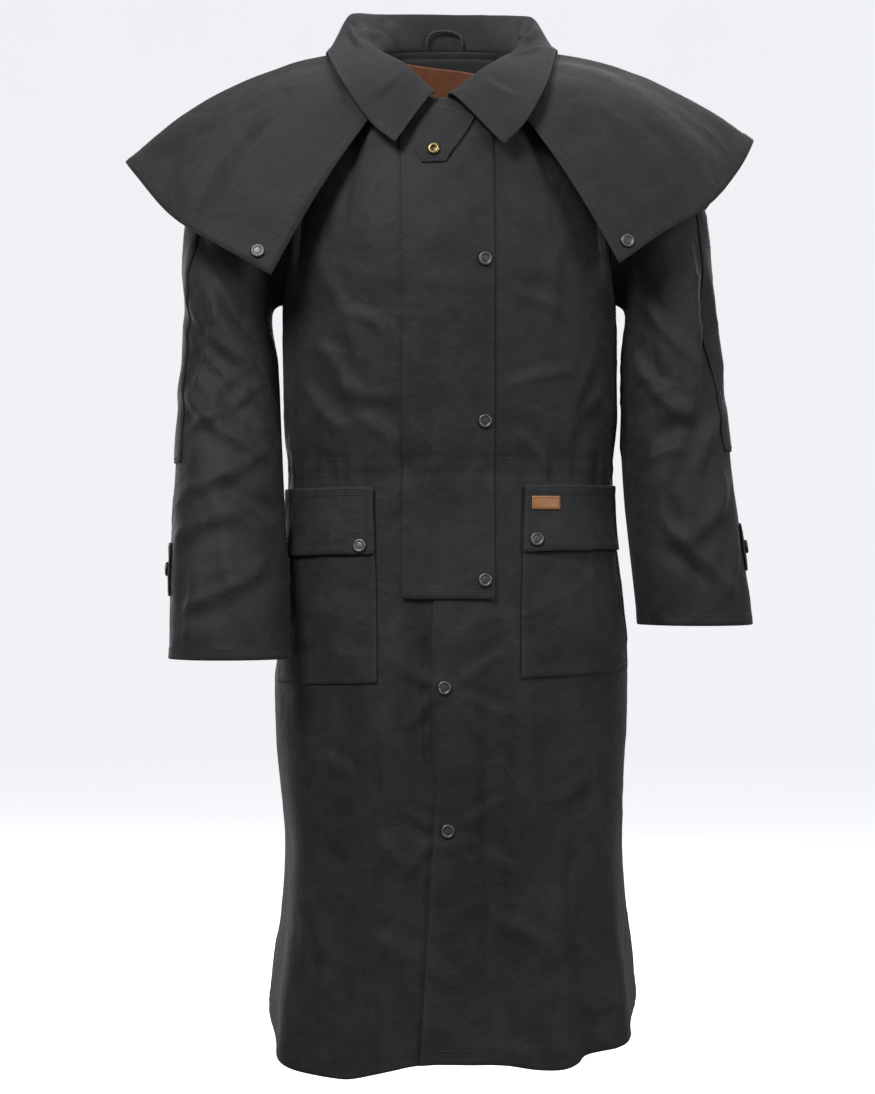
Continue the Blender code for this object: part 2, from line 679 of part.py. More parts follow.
def make_collar(front, back, look):
    """One sheet from the sewn edge up the stand, over the roll and down the fall, its shown side inwards and up."""
    seam = neckline(front, back)
    steps = np.linalg.norm(np.diff(seam, axis=0), axis=1)
    way = np.concatenate([[0], np.cumsum(steps)])
    way = way / way[-1] * 2 - 1
    roll = np.stack([spline(way, COLLAR["way"], COLLAR["roll_" + axis]) for axis in "xyz"], axis=1)
    edge = np.stack([spline(way, COLLAR["way"], COLLAR["edge_" + axis]) for axis in "xyz"], axis=1)
    inwards = unit((np.array(NECK_MIDDLE) - seam) * [1, 1, 0])
    seam = seam + inwards * LAYER + [0, 0, COLLAR_SEAM_RISE]
    over = unit((edge - roll) * [1, 1, 0.15]) * COLLAR_ROLL
    rise = np.linalg.norm(roll - seam, axis=1)[:, None] * np.array([0, 0, 1.0])
    fall = edge - roll
    rows = []
    for step in range(COLLAR_STAND_ROWS):
        t = step / COLLAR_STAND_ROWS
        rows.append(
            seam * (2 * t**3 - 3 * t**2 + 1)
            + roll * (3 * t**2 - 2 * t**3)
            + rise * (t**3 - 2 * t**2 + t)
            + over * (t**3 - t**2)
        )
    for step in range(COLLAR_FALL_ROWS + 1):
        t = (step / COLLAR_FALL_ROWS) ** COLLAR_FALL_GROWTH
        rows.append(
            roll * (2 * t**3 - 3 * t**2 + 1)
            + edge * (3 * t**2 - 2 * t**3)
            + over * COLLAR_ROLL_REACH * (t**3 - 2 * t**2 + t)
            + fall * (t**3 - t**2)
        )
    cloth("collar", np.array(rows), look)


def make_cape(look, metal):
    """The cape: from the neck seam out over the shoulders, row by row from its hem up."""
    share = np.linspace(0, 1, CAPE_COLUMNS)
    turn = CAPE["turn"][0] + (CAPE["turn"][-1] - CAPE["turn"][0]) * share
    hem = np.stack([spline(turn, CAPE["turn"], CAPE["hem_" + axis]) for axis in "xyz"], axis=1)
    around = np.radians(turn)
    away = np.stack([np.sin(around), -np.cos(around), 0 * around], axis=1)
    neck = around_neck(around, np.cos(around) > 0) + away * CAPE_NECK_OUT + [0, 0, CAPE_NECK_UP]
    span = hem - neck
    early_out, early_down, late_out, late_down = (
        spline(turn, CAPE["turn"], CAPE[name]) for name in ("early_out", "early_down", "late_out", "late_down")
    )
    first = neck + span * np.stack([early_out, early_out * CAPE_EARLY_DEPTH, early_down], axis=1)
    second = neck + span * np.stack([late_out, late_out * CAPE_LATE_DEPTH, late_down], axis=1)
    rows = [
        bezier(np.full(CAPE_COLUMNS, 1 - step / CAPE_ROWS), neck, first, second, hem)
        for step in range(CAPE_ROWS + 1)
    ]
    grid = np.array(rows)
    cloth("cape", grid, look)
    last = CAPE_COLUMNS - 1
    for side, columns in (("right", CAPE_SNAP_COLUMN), ("left", last - CAPE_SNAP_COLUMN)):
        place, normal = over_grid(grid, columns, CAPE_SNAP_ROW, SNAP_LIFT)
        snap("snap_cape_" + side, place, normal, metal)


def turned(name, profile, place, normal, look):
    """A turned piece whose profile runs from the top's middle down its outer side, set upright on a surface."""
    mesh = bpy.data.meshes.new(name)
    edges = [(i, i + 1) for i in range(len(profile) - 1)]
    mesh.from_pydata([(radius, 0, height) for radius, height in profile], edges, [])
    made = finish(name, mesh, look)
    screw = made.modifiers.new("Turn", "SCREW")
    screw.steps = screw.render_steps = SNAP_SIDES
    screw.use_merge_vertices = True
    screw.merge_threshold = 0.00001
    made.location = Vector(place)
    made.rotation_euler = Vector(normal).to_track_quat("Z", "Y").to_euler()
    return made


def snap(name, place, normal, look):
    """A cap snap: a shallow dish inside a rounded rim."""
    radius, height = SNAP_RADIUS, SNAP_HEIGHT
    profile = [
        (0, 0.75 * height),
        (0.60 * radius, 0.65 * height),
        (0.74 * radius, height),
        (0.92 * radius, 0.90 * height),
        (radius, 0.45 * height),
        (0.94 * radius, 0),
        (0, 0),
    ]
    turned(name, profile, place, normal, look)


def ring_snap(name, place, normal, look):
    """The socket of a snap: a raised ring round a hollow."""
    radius, height = RING_RADIUS, SNAP_HEIGHT
    profile = [
        (0, 0.25 * height),
        (0.42 * radius, 0.25 * height),
        (0.48 * radius, 0.90 * height),
        (0.68 * radius, height),
        (0.92 * radius, 0.80 * height),
        (radius, 0.30 * height),
        (0.96 * radius, 0),
        (0, 0),
    ]
    turned(name, profile, place, normal, look)


def over_grid(grid, columns, rows, lift):
    """A place and a normal on a grid's facets, at a fractional column and row."""
    column_at, row_at = int(columns), int(rows)
    s, t = columns - column_at, rows - row_at
    a, b = grid[row_at, column_at], grid[row_at, column_at + 1]
    c, d = grid[row_at + 1, column_at + 1], grid[row_at + 1, column_at]
    place = a + (b - a) * s + (c - b) * t if s >= t else a + (c - d) * s + (d - a) * t
    normal = np.cross(b - a, c - a) if s >= t else np.cross(c - a, d - a)
    return place + unit(normal) * lift, unit(normal)


def grid_place(grid, x, height):
    """The fractional column and row of a front grid at which it lies at x and at a height."""
    rows = np.arange(len(grid))
    middle = grid.shape[1] // 2
    row_at = np.interp(height, grid[:, middle, 2], rows)
    low = grid[int(row_at)]
    high = grid[min(int(row_at) + 1, len(grid) - 1)]
    line = low + (high - low) * (row_at - int(row_at))
    return float(np.interp(x, line[:, 0], np.arange(grid.shape[1]))), float(row_at)


def make_snaps(front, look):
    for number, height in enumerate(STORM_SNAP_HEIGHTS, 1):
        places = grid_place(front, STORM_SNAP_X, height)
        place, normal = over_grid(front, *places, 2 * LAYER + SNAP_LIFT)
        snap(f"snap_storm_flap_{number}", place, normal, look)
    for number, (x, height) in enumerate(LOWER_SNAPS, 1):
        place, normal = over_grid(front, *grid_place(front, x, height), LAYER + SNAP_LIFT)
        snap(f"snap_front_{number}", place, normal, look)
    for side, place in POCKET_SNAPS.items():
        place, normal = over_grid(front, *grid_place(front, *place), 2 * LAYER + SNAP_LIFT)
        snap("snap_pocket_flap_" + side, place, normal, look)


def make_throat_tab(look, brass):
    """The tab under the collar that closes the throat, with the socket of a ring snap at its end."""
    x = between(THROAT_TAB["end_x"], THROAT_TAB["top_x"], THROAT_TAB_ROWS)
    share = between(THROAT_TAB["end_share"], THROAT_TAB["top_share"], THROAT_TAB_ROWS)
    grid = on_front(x, share, THROAT_TAB_LIFT)
    cloth("throat_tab", grid, look)
    place, normal = over_grid(grid, RING_COLUMN, RING_ROW, SNAP_LIFT)
    ring_snap("ring_throat_tab", place, normal, brass)


def make_neck_label(back, leather):
    """The bare leather label on the lining below the back neck seam, a little aslant."""
    inside = back - outward(back) * LABEL_LIFT
    places = between(np.linspace(*LABEL_LOW, 8), np.linspace(*LABEL_HIGH, 8), 5)
    columns = np.interp(places[..., 0], BACK_TURNS, np.arange(len(BACK_TURNS)))
    rows = len(ROWS) - 1 + places[..., 1] * CHEST_ROWS
    grid = np.vectorize(lambda column, row: over_grid(inside, column, row, 0)[0], signature="(),()->(n)")
    cloth("neck_label", grid(columns, rows), leather, wall=LABEL_WALL)


def make_pocket_label(front, leather):
    """The bare leather tag sewn on the right pocket flap."""
    first = grid_place(front, POCKET_LABEL_X, POCKET_LABEL_MIDDLE)[0]
    columns = (first, column("right_chest"), column("right_neck") + 0.02)
    rows = row("pocket_flap_middle") + np.array([0.25, 0.62])
    grid = np.array([[over_grid(front, x, z, 2 * LAYER + 0.0006 + LABEL_WALL)[0] for x in columns] for z in rows])
    cloth("pocket_label", grid, leather, wall=LABEL_WALL)


def make_hanger_loop(look):
    """The cord loop that stands inside the collar, its ends at the neck seam."""
    curve = bpy.data.curves.new("hanger_loop", "CURVE")
    curve.dimensions = "3D"
    curve.bevel_depth = LOOP_RADIUS
    curve.bevel_resolution = 2
    curve.use_fill_caps = True
    line = curve.splines.new("POLY")
    bends = np.linspace(0, math.pi, 13)
    line.points.add(len(bends) - 1)
    for point, bend in zip(line.points, bends):
        x = LOOP_MIDDLE_X - LOOP_HALF_WIDTH * math.cos(bend)
        z = NECK_BACK[1] + LOOP_FOOT + LOOP_RISE * math.sin(bend) ** 0.6
        y = NECK_BACK[0] - CLOTH - LOOP_RADIUS - LOOP_STAND_OFF - LOOP_BOW * x * x
        point.co = (x, y, z, 1)
    finish("hanger_loop", curve, look)


def main():
    for old in list(bpy.data.objects):
        bpy.data.objects.remove(old)
    bpy.context.scene.collection.children.link(bpy.data.collections.new("duster_coat"))
    waxed = material("waxed_cotton", (0.035, 0.036, 0.038), 0.5)
    lining = material("lining", (0.012, 0.012, 0.012), 0.8)
    front, back = make_body(waxed, lining)
    make_storm_flap(front, waxed)
    make_pockets(front, waxed)
    metal = material("snap_metal", (0.06, 0.05, 0.042), 0.4, 1.0)
    make_sleeves(front, back, waxed, metal)
    make_collar(front, back, material("collar_cotton", (0.05, 0.05, 0.056), 0.6))
    make_cape(waxed, metal)
    make_throat_tab(waxed, material("brass", (0.45, 0.34, 0.18), 0.35, 1.0))
    make_neck_label(back, material("label_leather", (0.19, 0.055, 0.016), 0.6))
    make_pocket_label(front, material("tag_leather", (0.30, 0.12, 0.035), 0.6))
    make_hanger_loop(lining)
    make_snaps(front, metal)


main()
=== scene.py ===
"""A black waxed-cotton duster coat, filled out and hollow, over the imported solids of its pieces.

Metres, +Z up, the coat's front towards -Y. Left and right are the viewer's.
"""

import math

import bpy
import numpy as np
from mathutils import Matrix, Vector


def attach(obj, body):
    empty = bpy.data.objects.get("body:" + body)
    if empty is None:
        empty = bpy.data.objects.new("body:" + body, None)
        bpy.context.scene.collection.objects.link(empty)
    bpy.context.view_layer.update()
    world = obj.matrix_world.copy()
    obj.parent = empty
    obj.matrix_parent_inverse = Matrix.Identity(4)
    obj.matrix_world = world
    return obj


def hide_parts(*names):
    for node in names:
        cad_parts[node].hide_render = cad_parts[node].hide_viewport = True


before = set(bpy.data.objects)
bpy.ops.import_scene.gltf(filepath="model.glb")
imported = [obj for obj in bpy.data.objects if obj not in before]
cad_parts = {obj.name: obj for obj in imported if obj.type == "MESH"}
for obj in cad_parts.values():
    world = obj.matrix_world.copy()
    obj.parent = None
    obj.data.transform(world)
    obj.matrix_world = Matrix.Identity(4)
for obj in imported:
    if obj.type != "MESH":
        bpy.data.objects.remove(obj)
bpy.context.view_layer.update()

# Camera, floor and light: a plain pale studio. The camera looks level along +Y from 2.7 m in front
# of the coat's side seams, at the height of the middle of the picture.
CAMERA_AWAY = 2.7
METRES_PER_PIXEL = 0.0013
PICTURE_HEIGHT = 1094
SENSOR = 36.0
CAMERA_X = -0.01235
CAMERA_Z = -0.6435
FLOOR_Z = -1.60
FLOOR_LEVEL = 7.0
FLOOR_BEND = 5.0
FLOOR_RINGS = 24
FLOOR_SIDES = 96

camera_data = bpy.data.cameras.new("camera")
camera_data.sensor_width = SENSOR
camera_data.lens = SENSOR * CAMERA_AWAY / (PICTURE_HEIGHT * METRES_PER_PIXEL)
camera = bpy.data.objects.new("camera", camera_data)
camera.location = (CAMERA_X, -CAMERA_AWAY, CAMERA_Z)
camera.rotation_euler = (math.radians(90), 0, 0)
bpy.context.scene.collection.objects.link(camera)
bpy.context.scene.camera = camera


class Wire:
    """One output of a material's nodes. Arithmetic on it adds Math nodes."""

    def __init__(self, finish, socket):
        self.finish = finish
        self.socket = socket

    def math(self, operation, *others):
        return self.finish.node("ShaderNodeMath", {"operation": operation}, [self, *others])

    def __add__(self, other):
        return self.math("ADD", other)

    __radd__ = __add__

    def __sub__(self, other):
        return self.math("SUBTRACT", other)

    def __rsub__(self, other):
        return self.finish.node("ShaderNodeMath", {"operation": "SUBTRACT"}, [other, self])

    def __mul__(self, other):
        return self.math("MULTIPLY", other)

    __rmul__ = __mul__

    def __truediv__(self, other):
        return self.math("DIVIDE", other)

    def clamped(self):
        return self.finish.node("ShaderNodeClamp", {}, [self, 0.0, 1.0])


class Finish:
    """A material and the nodes that feed its shader."""

    def __init__(self, name):
        self.material = bpy.data.materials.new(name)
        self.material.use_nodes = True
        self.tree = self.material.node_tree
        self.shader = self.tree.nodes["Principled BSDF"]

    def node(self, kind, settings, sockets, output=0):
        """A node of a kind, with its settings first, then the values or wires of its sockets."""
        made = self.tree.nodes.new(kind)
        for key, value in settings.items():
            setattr(made, key, value)
        pairs = sockets.items() if isinstance(sockets, dict) else enumerate(sockets)
        for key, value in pairs:
            if isinstance(value, Wire):
                self.tree.links.new(value.socket, made.inputs[key])
            else:
                made.inputs[key].default_value = value
        return Wire(self, made.outputs[output])

    def places(self):
        return self.node("ShaderNodeTexCoord", {}, {}, output=3)

    def stored(self, name):
        """A value that the mesh stores at its points."""
        return self.node("ShaderNodeAttribute", {"attribute_name": name}, {}, output=2)

    def noise(self, places, scale, detail=3.0, roughness=0.5):
        sockets = {"Vector": places, "Scale": scale, "Detail": detail, "Roughness": roughness}
        return self.node("ShaderNodeTexNoise", {}, sockets)

    def mix(self, share, first, second):
        settings = {"data_type": "RGBA"}
        return self.node("ShaderNodeMix", settings, {0: share, 6: (*first, 1), 7: (*second, 1)}, output=2)

    def feed(self, **wires):
        for name, wire in wires.items():
            self.tree.links.new(wire.socket, self.shader.inputs[name.replace("_", " ")])

    def keep(self, **values):
        for name, value in values.items():
            self.shader.inputs[name.replace("_", " ")].default_value = value

    def bump(self, height, strength, distance):
        made = self.node("ShaderNodeBump", {}, {"Strength": strength, "Distance": distance, "Height": height})
        self.feed(Normal=made)


def smooth_object(name, points, faces):
    """An object with these points and faces, shaded smooth."""
    mesh = bpy.data.meshes.new(name)
    mesh.from_pydata(points.tolist(), [], faces)
    mesh.shade_smooth()
    made = bpy.data.objects.new(name, mesh)
    bpy.context.scene.collection.objects.link(made)
    return made


def turned_faces(rings, sides):
    """The faces between rings of points, and the pairs of neighbours round one ring."""
    now = np.arange(sides)
    after = np.roll(now, -1)
    low = sides * np.arange(rings - 1)[:, None]
    quads = np.stack([low + now, low + sides + now, low + sides + after, low + after], axis=-1)
    return quads.reshape(-1, 4).tolist(), list(zip(now.tolist(), after.tolist()))


def plain_floor():
    """A round sheet: level near the coat, then bent up as a quarter circle, turned round its middle."""
    bend = np.linspace(0, math.pi / 2, FLOOR_RINGS)
    radius = np.concatenate([[2.0, 5.0], FLOOR_LEVEL + FLOOR_BEND * np.sin(bend)])
    height = np.concatenate([[0.0, 0.0], FLOOR_BEND * (1 - np.cos(bend))]) + FLOOR_Z
    turn = np.arange(FLOOR_SIDES) * 2 * math.pi / FLOOR_SIDES
    ring = (radius[:, None] * np.cos(turn), radius[:, None] * np.sin(turn), height[:, None])
    points = np.stack(np.broadcast_arrays(*ring), axis=-1).reshape(-1, 3)
    faces, pairs = turned_faces(len(radius), FLOOR_SIDES)
    faces += [(len(points), *pair) for pair in pairs]
    floor = smooth_object("floor", np.concatenate([points, [[0, 0, FLOOR_Z]]]), faces)
    paper = Finish("pale_paper")
    paper.feed(Base_Color=paper.mix(paper.noise(paper.places(), 2.0), (0.86, 0.86, 0.87), (0.90, 0.90, 0.90)))
    paper.keep(Roughness=0.9, Emission_Color=(0.97, 0.97, 1.0, 1), Emission_Strength=0.60)
    floor.data.materials.append(paper.material)
    floor.visible_diffuse = False
    floor.visible_glossy = False


def soft_light(name, place, aim, size, watts):
    data = bpy.data.lights.new(name, "AREA")
    data.shape = "RECTANGLE"
    data.size, data.size_y = size
    data.energy = watts
    made = bpy.data.objects.new(name, data)
    made.location = place
    made.rotation_euler = (Vector(aim) - Vector(place)).to_track_quat("-Z", "Y").to_euler()
    bpy.context.scene.collection.objects.link(made)


plain_floor()
soft_light("key_light", (-1.4, -2.2, 1.9), (0, 0, -0.3), (1.2, 1.2), 112)
soft_light("fill_light", (2.4, -2.0, 0.7), (0, 0, -0.5), (1.0, 2.0), 42)
soft_light("top_light", (0.4, 0.4, 2.2), (0, 0, -0.4), (2.0, 1.6), 34)
soft_light("back_light", (1.2, 2.8, 0.8), (0, 0, -0.6), (2.0, 2.0), 50)
soft_light("back_fill_light", (-1.8, 2.4, -0.2), (0, 0, -0.8), (1.6, 2.0), 30)
world = bpy.data.worlds.new("studio")
world.use_nodes = True
surroundings = world.node_tree.nodes["Background"].inputs
surroundings["Color"].default_value = (0.95, 0.96, 1.0, 1)
surroundings["Strength"].default_value = 0.30
bpy.context.scene.world = world
bpy.context.scene.view_settings.view_transform = "Standard"

# The body: two fronts and a back of heavy waxed cotton, sewn at the sides and the shoulders.
# Each is a wall that hangs in long soft folds from the waist, where a drawcord gathers it.
MM = 0.001
CLOTH = 0.0016
GAP = 0.0004
LAYER = CLOTH + GAP
SQUARENESS = 2.35
ARMPIT = -0.330
HEM = -1.270
HEM_DIP_FROM = -0.865
NECK_ARC = math.radians(36)
NECK_HALF_WIDTH = 0.092
NECK_ROUNDNESS = 0.9
NECK_SHOULDER = (-0.010, -0.008)
NECK_FRONT = (-0.105, -0.085)
NECK_BACK = (0.088, 0.021)
SHOULDER_TIP = (0.225, 0.005, -0.040)
ARMHOLE_SCOOP = (-0.030, 0.112)
MESH_STEP = 0.0050
WAIST = -0.544


def table(names, rows):
    """Named columns from rows of numbers."""
    return dict(zip(names.split(), np.array(rows, float).T))


BODY = table(
    "height half_width middle front_depth back_depth",
    [
        (-1.300, 0.2400, 0.0070, 0.204, 0.198),
        (-1.228, 0.2370, 0.0070, 0.200, 0.194),
        (-1.124, 0.2243, 0.0085, 0.191, 0.186),
        (-1.023, 0.2194, 0.0085, 0.184, 0.178),
        (-0.902, 0.2252, 0.0045, 0.177, 0.170),
        (-0.784, 0.2262, 0.0060, 0.170, 0.162),
        (-0.708, 0.2220, 0.0060, 0.162, 0.153),
        (-0.658, 0.2170, 0.0045, 0.156, 0.145),
        (-0.544, 0.2100, 0.0040, 0.149, 0.134),
        (-0.500, 0.2140, 0.0040, 0.150, 0.138),
        (-0.400, 0.2165, 0.0035, 0.152, 0.146),
        (-0.330, 0.2160, 0.0030, 0.150, 0.147),
    ],
)
HEM_DROP = table(
    "turn drop",
    [
        (-90, 0.020),
        (-62, -0.012),
        (-32, -0.022),
        (-6, 0.004),
        (12, 0.000),
        (28, -0.006),
        (46, 0.006),
        (62, 0.014),
        (90, 0.034),
        (135, 0.012),
        (180, 0.004),
        (225, 0.004),
        (270, 0.020),
    ],
)
FOLDS = table(
    "turn width top depth",
    [
        (-76, 13, -0.800, -0.007),
        (-58, 10, -0.820, 0.008),
        (-37, 12, -0.760, -0.011),
        (-13, 8, -0.700, 0.009),
        (13, 9, -0.620, -0.011),
        (29, 9, -0.800, 0.008),
        (42, 6, -0.980, -0.011),
        (56, 9, -0.840, 0.009),
        (78, 12, -0.860, -0.007),
        (112, 12, -0.700, 0.009),
        (136, 11, -0.740, -0.011),
        (160, 10, -0.640, 0.010),
        (181, 9, -0.600, -0.009),
        (203, 10, -0.680, 0.011),
        (228, 12, -0.720, -0.010),
        (252, 11, -0.780, 0.008),
    ],
)
ROWS = {
    "hem": (HEM, HEM),
    "pocket_bottom": (-0.815, -0.798),
    "storm_flap_end": (-0.707, -0.707),
    "pocket_flap_bottom": (-0.655, -0.647),
    "pocket_flap_middle": (-0.613, -0.607),
    "pocket_flap_top": (-0.571, -0.566),
    "waist": (-0.540, -0.540),
    "armpit": (ARMPIT, ARMPIT),
}
FRONT_LINES = {
    "left_side": -90,
    "left_pocket_outer": -76,
    "left_flank": -62,
    "left_breast": -48,
    "left_neck": -36,
    "left_chest": ((HEM, -0.112), (ARMPIT, -0.112)),
    "left_pocket_inner": ((HEM, -0.076), (-0.815, -0.084), (-0.571, -0.091), (ARMPIT, -0.091)),
    "left_middle": ((HEM, -0.066), (-0.815, -0.069), (ARMPIT, -0.072)),
    "storm_flap_left": ((HEM, -0.056), (ARMPIT, -0.055)),
    "storm_flap_inner": ((HEM, -0.045), (-0.970, -0.036), (ARMPIT, -0.036)),
    "front_edge": ((HEM, -0.032), (-1.100, -0.021), (-0.970, -0.014), (-0.700, -0.017), (ARMPIT, -0.017)),
    "centre": ((HEM, 0.004), (ARMPIT, 0.004)),
    "snap_line": ((HEM, 0.025), (ARMPIT, 0.025)),
    "underlap": ((HEM, 0.044), (ARMPIT, 0.044)),
    "storm_flap_right": ((HEM, 0.057), (ARMPIT, 0.057)),
    "right_middle": ((HEM, 0.074), (ARMPIT, 0.074)),
    "right_pocket_inner": ((HEM, 0.086), (-0.798, 0.089), (-0.566, 0.095), (ARMPIT, 0.095)),
    "right_chest": ((HEM, 0.117), (ARMPIT, 0.117)),
    "right_neck": 36,
    "right_breast": 48,
    "right_flank": 62,
    "right_pocket_outer": 76,
    "right_side": 90,
}
BACK_TURNS = (90, 104, 118, 132, 144, 153, 162, 171, 180, 189, 198, 207, 216, 228, 242, 256, 270)


def smooth(share):
    share = np.clip(share, 0, 1)
    return share * share * (3 - 2 * share)


def hermite(t, first, last, leave, arrive):
    """The curve from first to last by t, its directions at the two ends being leave and arrive."""
    return (
        first * (2 * t**3 - 3 * t**2 + 1)
        + last * (3 * t**2 - 2 * t**3)
        + leave * (t**3 - 2 * t**2 + t)
        + arrive * (t**3 - t**2)
    )


def spline(at, places, values):
    """A smooth curve through values at rising places, held at its ends."""
    at = np.clip(at, places[0], places[-1])
    slopes = np.gradient(values, places)
    before = np.clip(np.searchsorted(places, at) - 1, 0, len(places) - 2)
    step = places[before + 1] - places[before]
    t = (at - places[before]) / step
    return hermite(t, values[before], values[before + 1], slopes[before] * step, slopes[before + 1] * step)


def curves(rows, at, names):
    """Named columns of a table at places along its first column, as smooth curves."""
    places = next(iter(rows.values()))
    return [spline(at, places, rows[name]) for name in names.split()]


def signed_power(value, power):
    return np.sign(value) * np.abs(value) ** power


def across_to_turn(x, height):
    """The turn round the body's front at which the cloth lies at x."""
    middle, half_width = curves(BODY, height, "middle half_width")
    return np.arcsin(np.clip(signed_power((x - middle) / half_width, SQUARENESS / 2), -1, 1))


def skirt(turn, height):
    """The body below the armpits: a rounded square at each height, x by the sine and y by the cosine of the
    turn, each to a power. The long folds move it out: bells across the turn that grow downwards."""
    half_width, middle, front, back = curves(BODY, height, "half_width middle front_depth back_depth")
    depth = np.where(np.cos(turn) > 0, front, back)
    degrees = np.degrees(turn)
    out = 0
    for fold_turn, width, top, fold_depth in zip(*FOLDS.values()):
        off = (degrees - fold_turn + 180) % 360 - 180
        out = out + fold_depth * smooth((top - height) / (top - HEM)) * np.exp(-((off / width) ** 2))
    (drop,) = curves(HEM_DROP, (degrees + 90) % 360 - 90, "drop")
    x = middle + half_width * signed_power(np.sin(turn), 2 / SQUARENESS) + out * np.sin(turn)
    y = -depth * signed_power(np.cos(turn), 2 / SQUARENESS) - out * np.cos(turn)
    z = height + drop * smooth((HEM_DIP_FROM - height) / (HEM_DIP_FROM - HEM))
    return np.stack([x, y, z], axis=-1)


def around_neck(around, front):
    """The neckline by the turn round the neck itself: a rounded oval, deepest at the middle."""
    deep = np.abs(np.cos(around)) ** NECK_ROUNDNESS
    wide = NECK_HALF_WIDTH * np.abs(np.sin(around)) ** NECK_ROUNDNESS
    middle_y, middle_z = (np.where(front, *pair) for pair in zip(NECK_FRONT, NECK_BACK))
    y = NECK_SHOULDER[0] + (middle_y - NECK_SHOULDER[0]) * deep
    z = NECK_SHOULDER[1] + (middle_z - NECK_SHOULDER[1]) * deep
    return np.stack([np.sign(np.sin(around)) * wide, y, z], axis=-1)


def neck_edge(turn, front):
    """Where the cloth ends above: the rounded neckline near the middle, the straight shoulder seam beyond."""
    share = np.abs(np.sin(turn)) ** (2 / SQUARENESS)
    neck_share = math.sin(NECK_ARC) ** (2 / SQUARENESS)
    side = np.sign(np.sin(turn))
    neck = around_neck(np.clip(share / neck_share, 0, 1) * math.pi / 2 * side, front)
    shoulder = (np.clip((share - neck_share) / (1 - neck_share), 0, 1))[..., None]
    start, tip = (
        np.stack([side * x, *(np.full_like(side, value) for value in level)], axis=-1)
        for x, *level in ((NECK_HALF_WIDTH, *NECK_SHOULDER), SHOULDER_TIP)
    )
    return neck + (tip - start) * shoulder


def bezier(share, first, second, third, last):
    share = share[..., None]
    rest = 1 - share
    return rest**3 * first + 3 * rest**2 * share * second + 3 * rest * share**2 * third + share**3 * last


def chest(turn, share, front=True):
    """The body above the armpits: at each turn a bent line from the armpit ring to the neck or shoulder."""
    low = skirt(turn, np.full_like(turn, ARMPIT))
    top = neck_edge(turn, front)
    sign = -1.0 if front else 1.0
    wide = np.abs(np.sin(turn)) ** (2 / SQUARENESS)
    at_armhole = smooth((wide - 0.86) / 0.14)
    rise = (top - low)[..., 2]
    scoop_x = ARMHOLE_SCOOP[0] * np.sign(np.sin(turn)) * at_armhole
    scoop_y = ARMHOLE_SCOOP[1] * sign * at_armhole
    over = 0.030 + 0.034 * smooth((wide - 0.1) / 0.5)
    level = 0.28 - 0.22 * smooth((wide - 0.35) / 0.25)
    second = low + np.stack([scoop_x, scoop_y + sign * 0.008, 0.30 * rise], axis=-1)
    third = top + np.stack([scoop_x, (over * (1 - at_armhole)) * sign + scoop_y, -level * rise], axis=-1)
    return bezier(share, low, second, third, top)


def finer(values, counts):
    """Values with counts of even steps put between each and the next along the last axis."""
    places = np.concatenate([i + np.arange(n) / n for i, n in enumerate(counts)] + [[len(counts)]])
    low = np.minimum(places.astype(int), len(counts) - 1)
    share = places - low
    return values[..., low] * (1 - share) + values[..., low + 1] * share


def named_places(names, counts):
    """Where each name comes in the finer rows or columns."""
    return dict(zip(names, np.concatenate([[0], np.cumsum(counts)])))


def front_turns(height):
    turns = []
    for line in FRONT_LINES.values():
        if isinstance(line, tuple):
            places = np.array(line, float).T
            turns.append(across_to_turn(np.interp(height, *places), height))
        else:
            turns.append(np.full_like(height, math.radians(line)))
    return np.stack(turns, axis=-1)


def back_turns(height):
    return np.broadcast_to(np.radians(np.array(BACK_TURNS, float)), (*height.shape, len(BACK_TURNS)))


ROW_STEPS = [round(step / MESH_STEP) for step in np.diff([left for left, right in ROWS.values()])]
ROW = named_places(ROWS, ROW_STEPS)
CHEST_STEPS = 64
_near_hips = skirt(front_turns(np.array([-0.8]))[0], np.full(len(FRONT_LINES), -0.8))
FRONT_STEPS = [max(1, round(s / MESH_STEP)) for s in np.linalg.norm(np.diff(_near_hips, axis=0), axis=1)]
COLUMN = named_places(FRONT_LINES, FRONT_STEPS)
BACK_STEPS = [round(0.6 * (b - a)) for a, b in zip(BACK_TURNS, BACK_TURNS[1:])]
BACK_COLUMN = named_places(BACK_TURNS, BACK_STEPS)


def body_grid(turns_at, counts, front):
    """Rows of points from the hem up to the neck, each row's columns at the finer turns between the lines."""
    left, right = finer(np.array(list(ROWS.values())).T, ROW_STEPS)
    turns = finer(turns_at((left + right) / 2), counts)
    heights = (left + right)[:, None] / 2 + (right - left)[:, None] / 2 * np.sin(turns)
    low = skirt(turns, heights)
    share = np.arange(1, CHEST_STEPS + 1)[:, None] / CHEST_STEPS
    top_turns = np.broadcast_to(turns[-1], (CHEST_STEPS, turns.shape[1]))
    return np.concatenate([low, chest(top_turns, share * np.ones_like(top_turns), front)])


def unit(vectors):
    return vectors / np.maximum(np.linalg.norm(vectors, axis=-1, keepdims=True), 1e-12)


def outward(grid, closed=False):
    """The direction out of the cloth at each point of a grid that runs across, then up."""
    if closed:
        across = np.roll(grid, -1, axis=1) - np.roll(grid, 1, axis=1)
    else:
        across = np.gradient(grid, axis=1)
    return unit(np.cross(across, np.gradient(grid, axis=0)))


def run(grid, axis):
    """The distance along the cloth from the first row or column to each point."""
    steps = np.linalg.norm(np.diff(grid, axis=axis), axis=-1)
    first = np.zeros_like(np.take(steps, [0], axis=axis))
    return np.concatenate([first, np.cumsum(steps, axis=axis)], axis=axis)


def from_ends(grid, axis):
    """The distance along the cloth from each point to the nearer end of its column, or of its row."""
    away = run(grid, axis)
    return np.minimum(away, np.take(away, [-1], axis=axis) - away)


LATTICE = 64


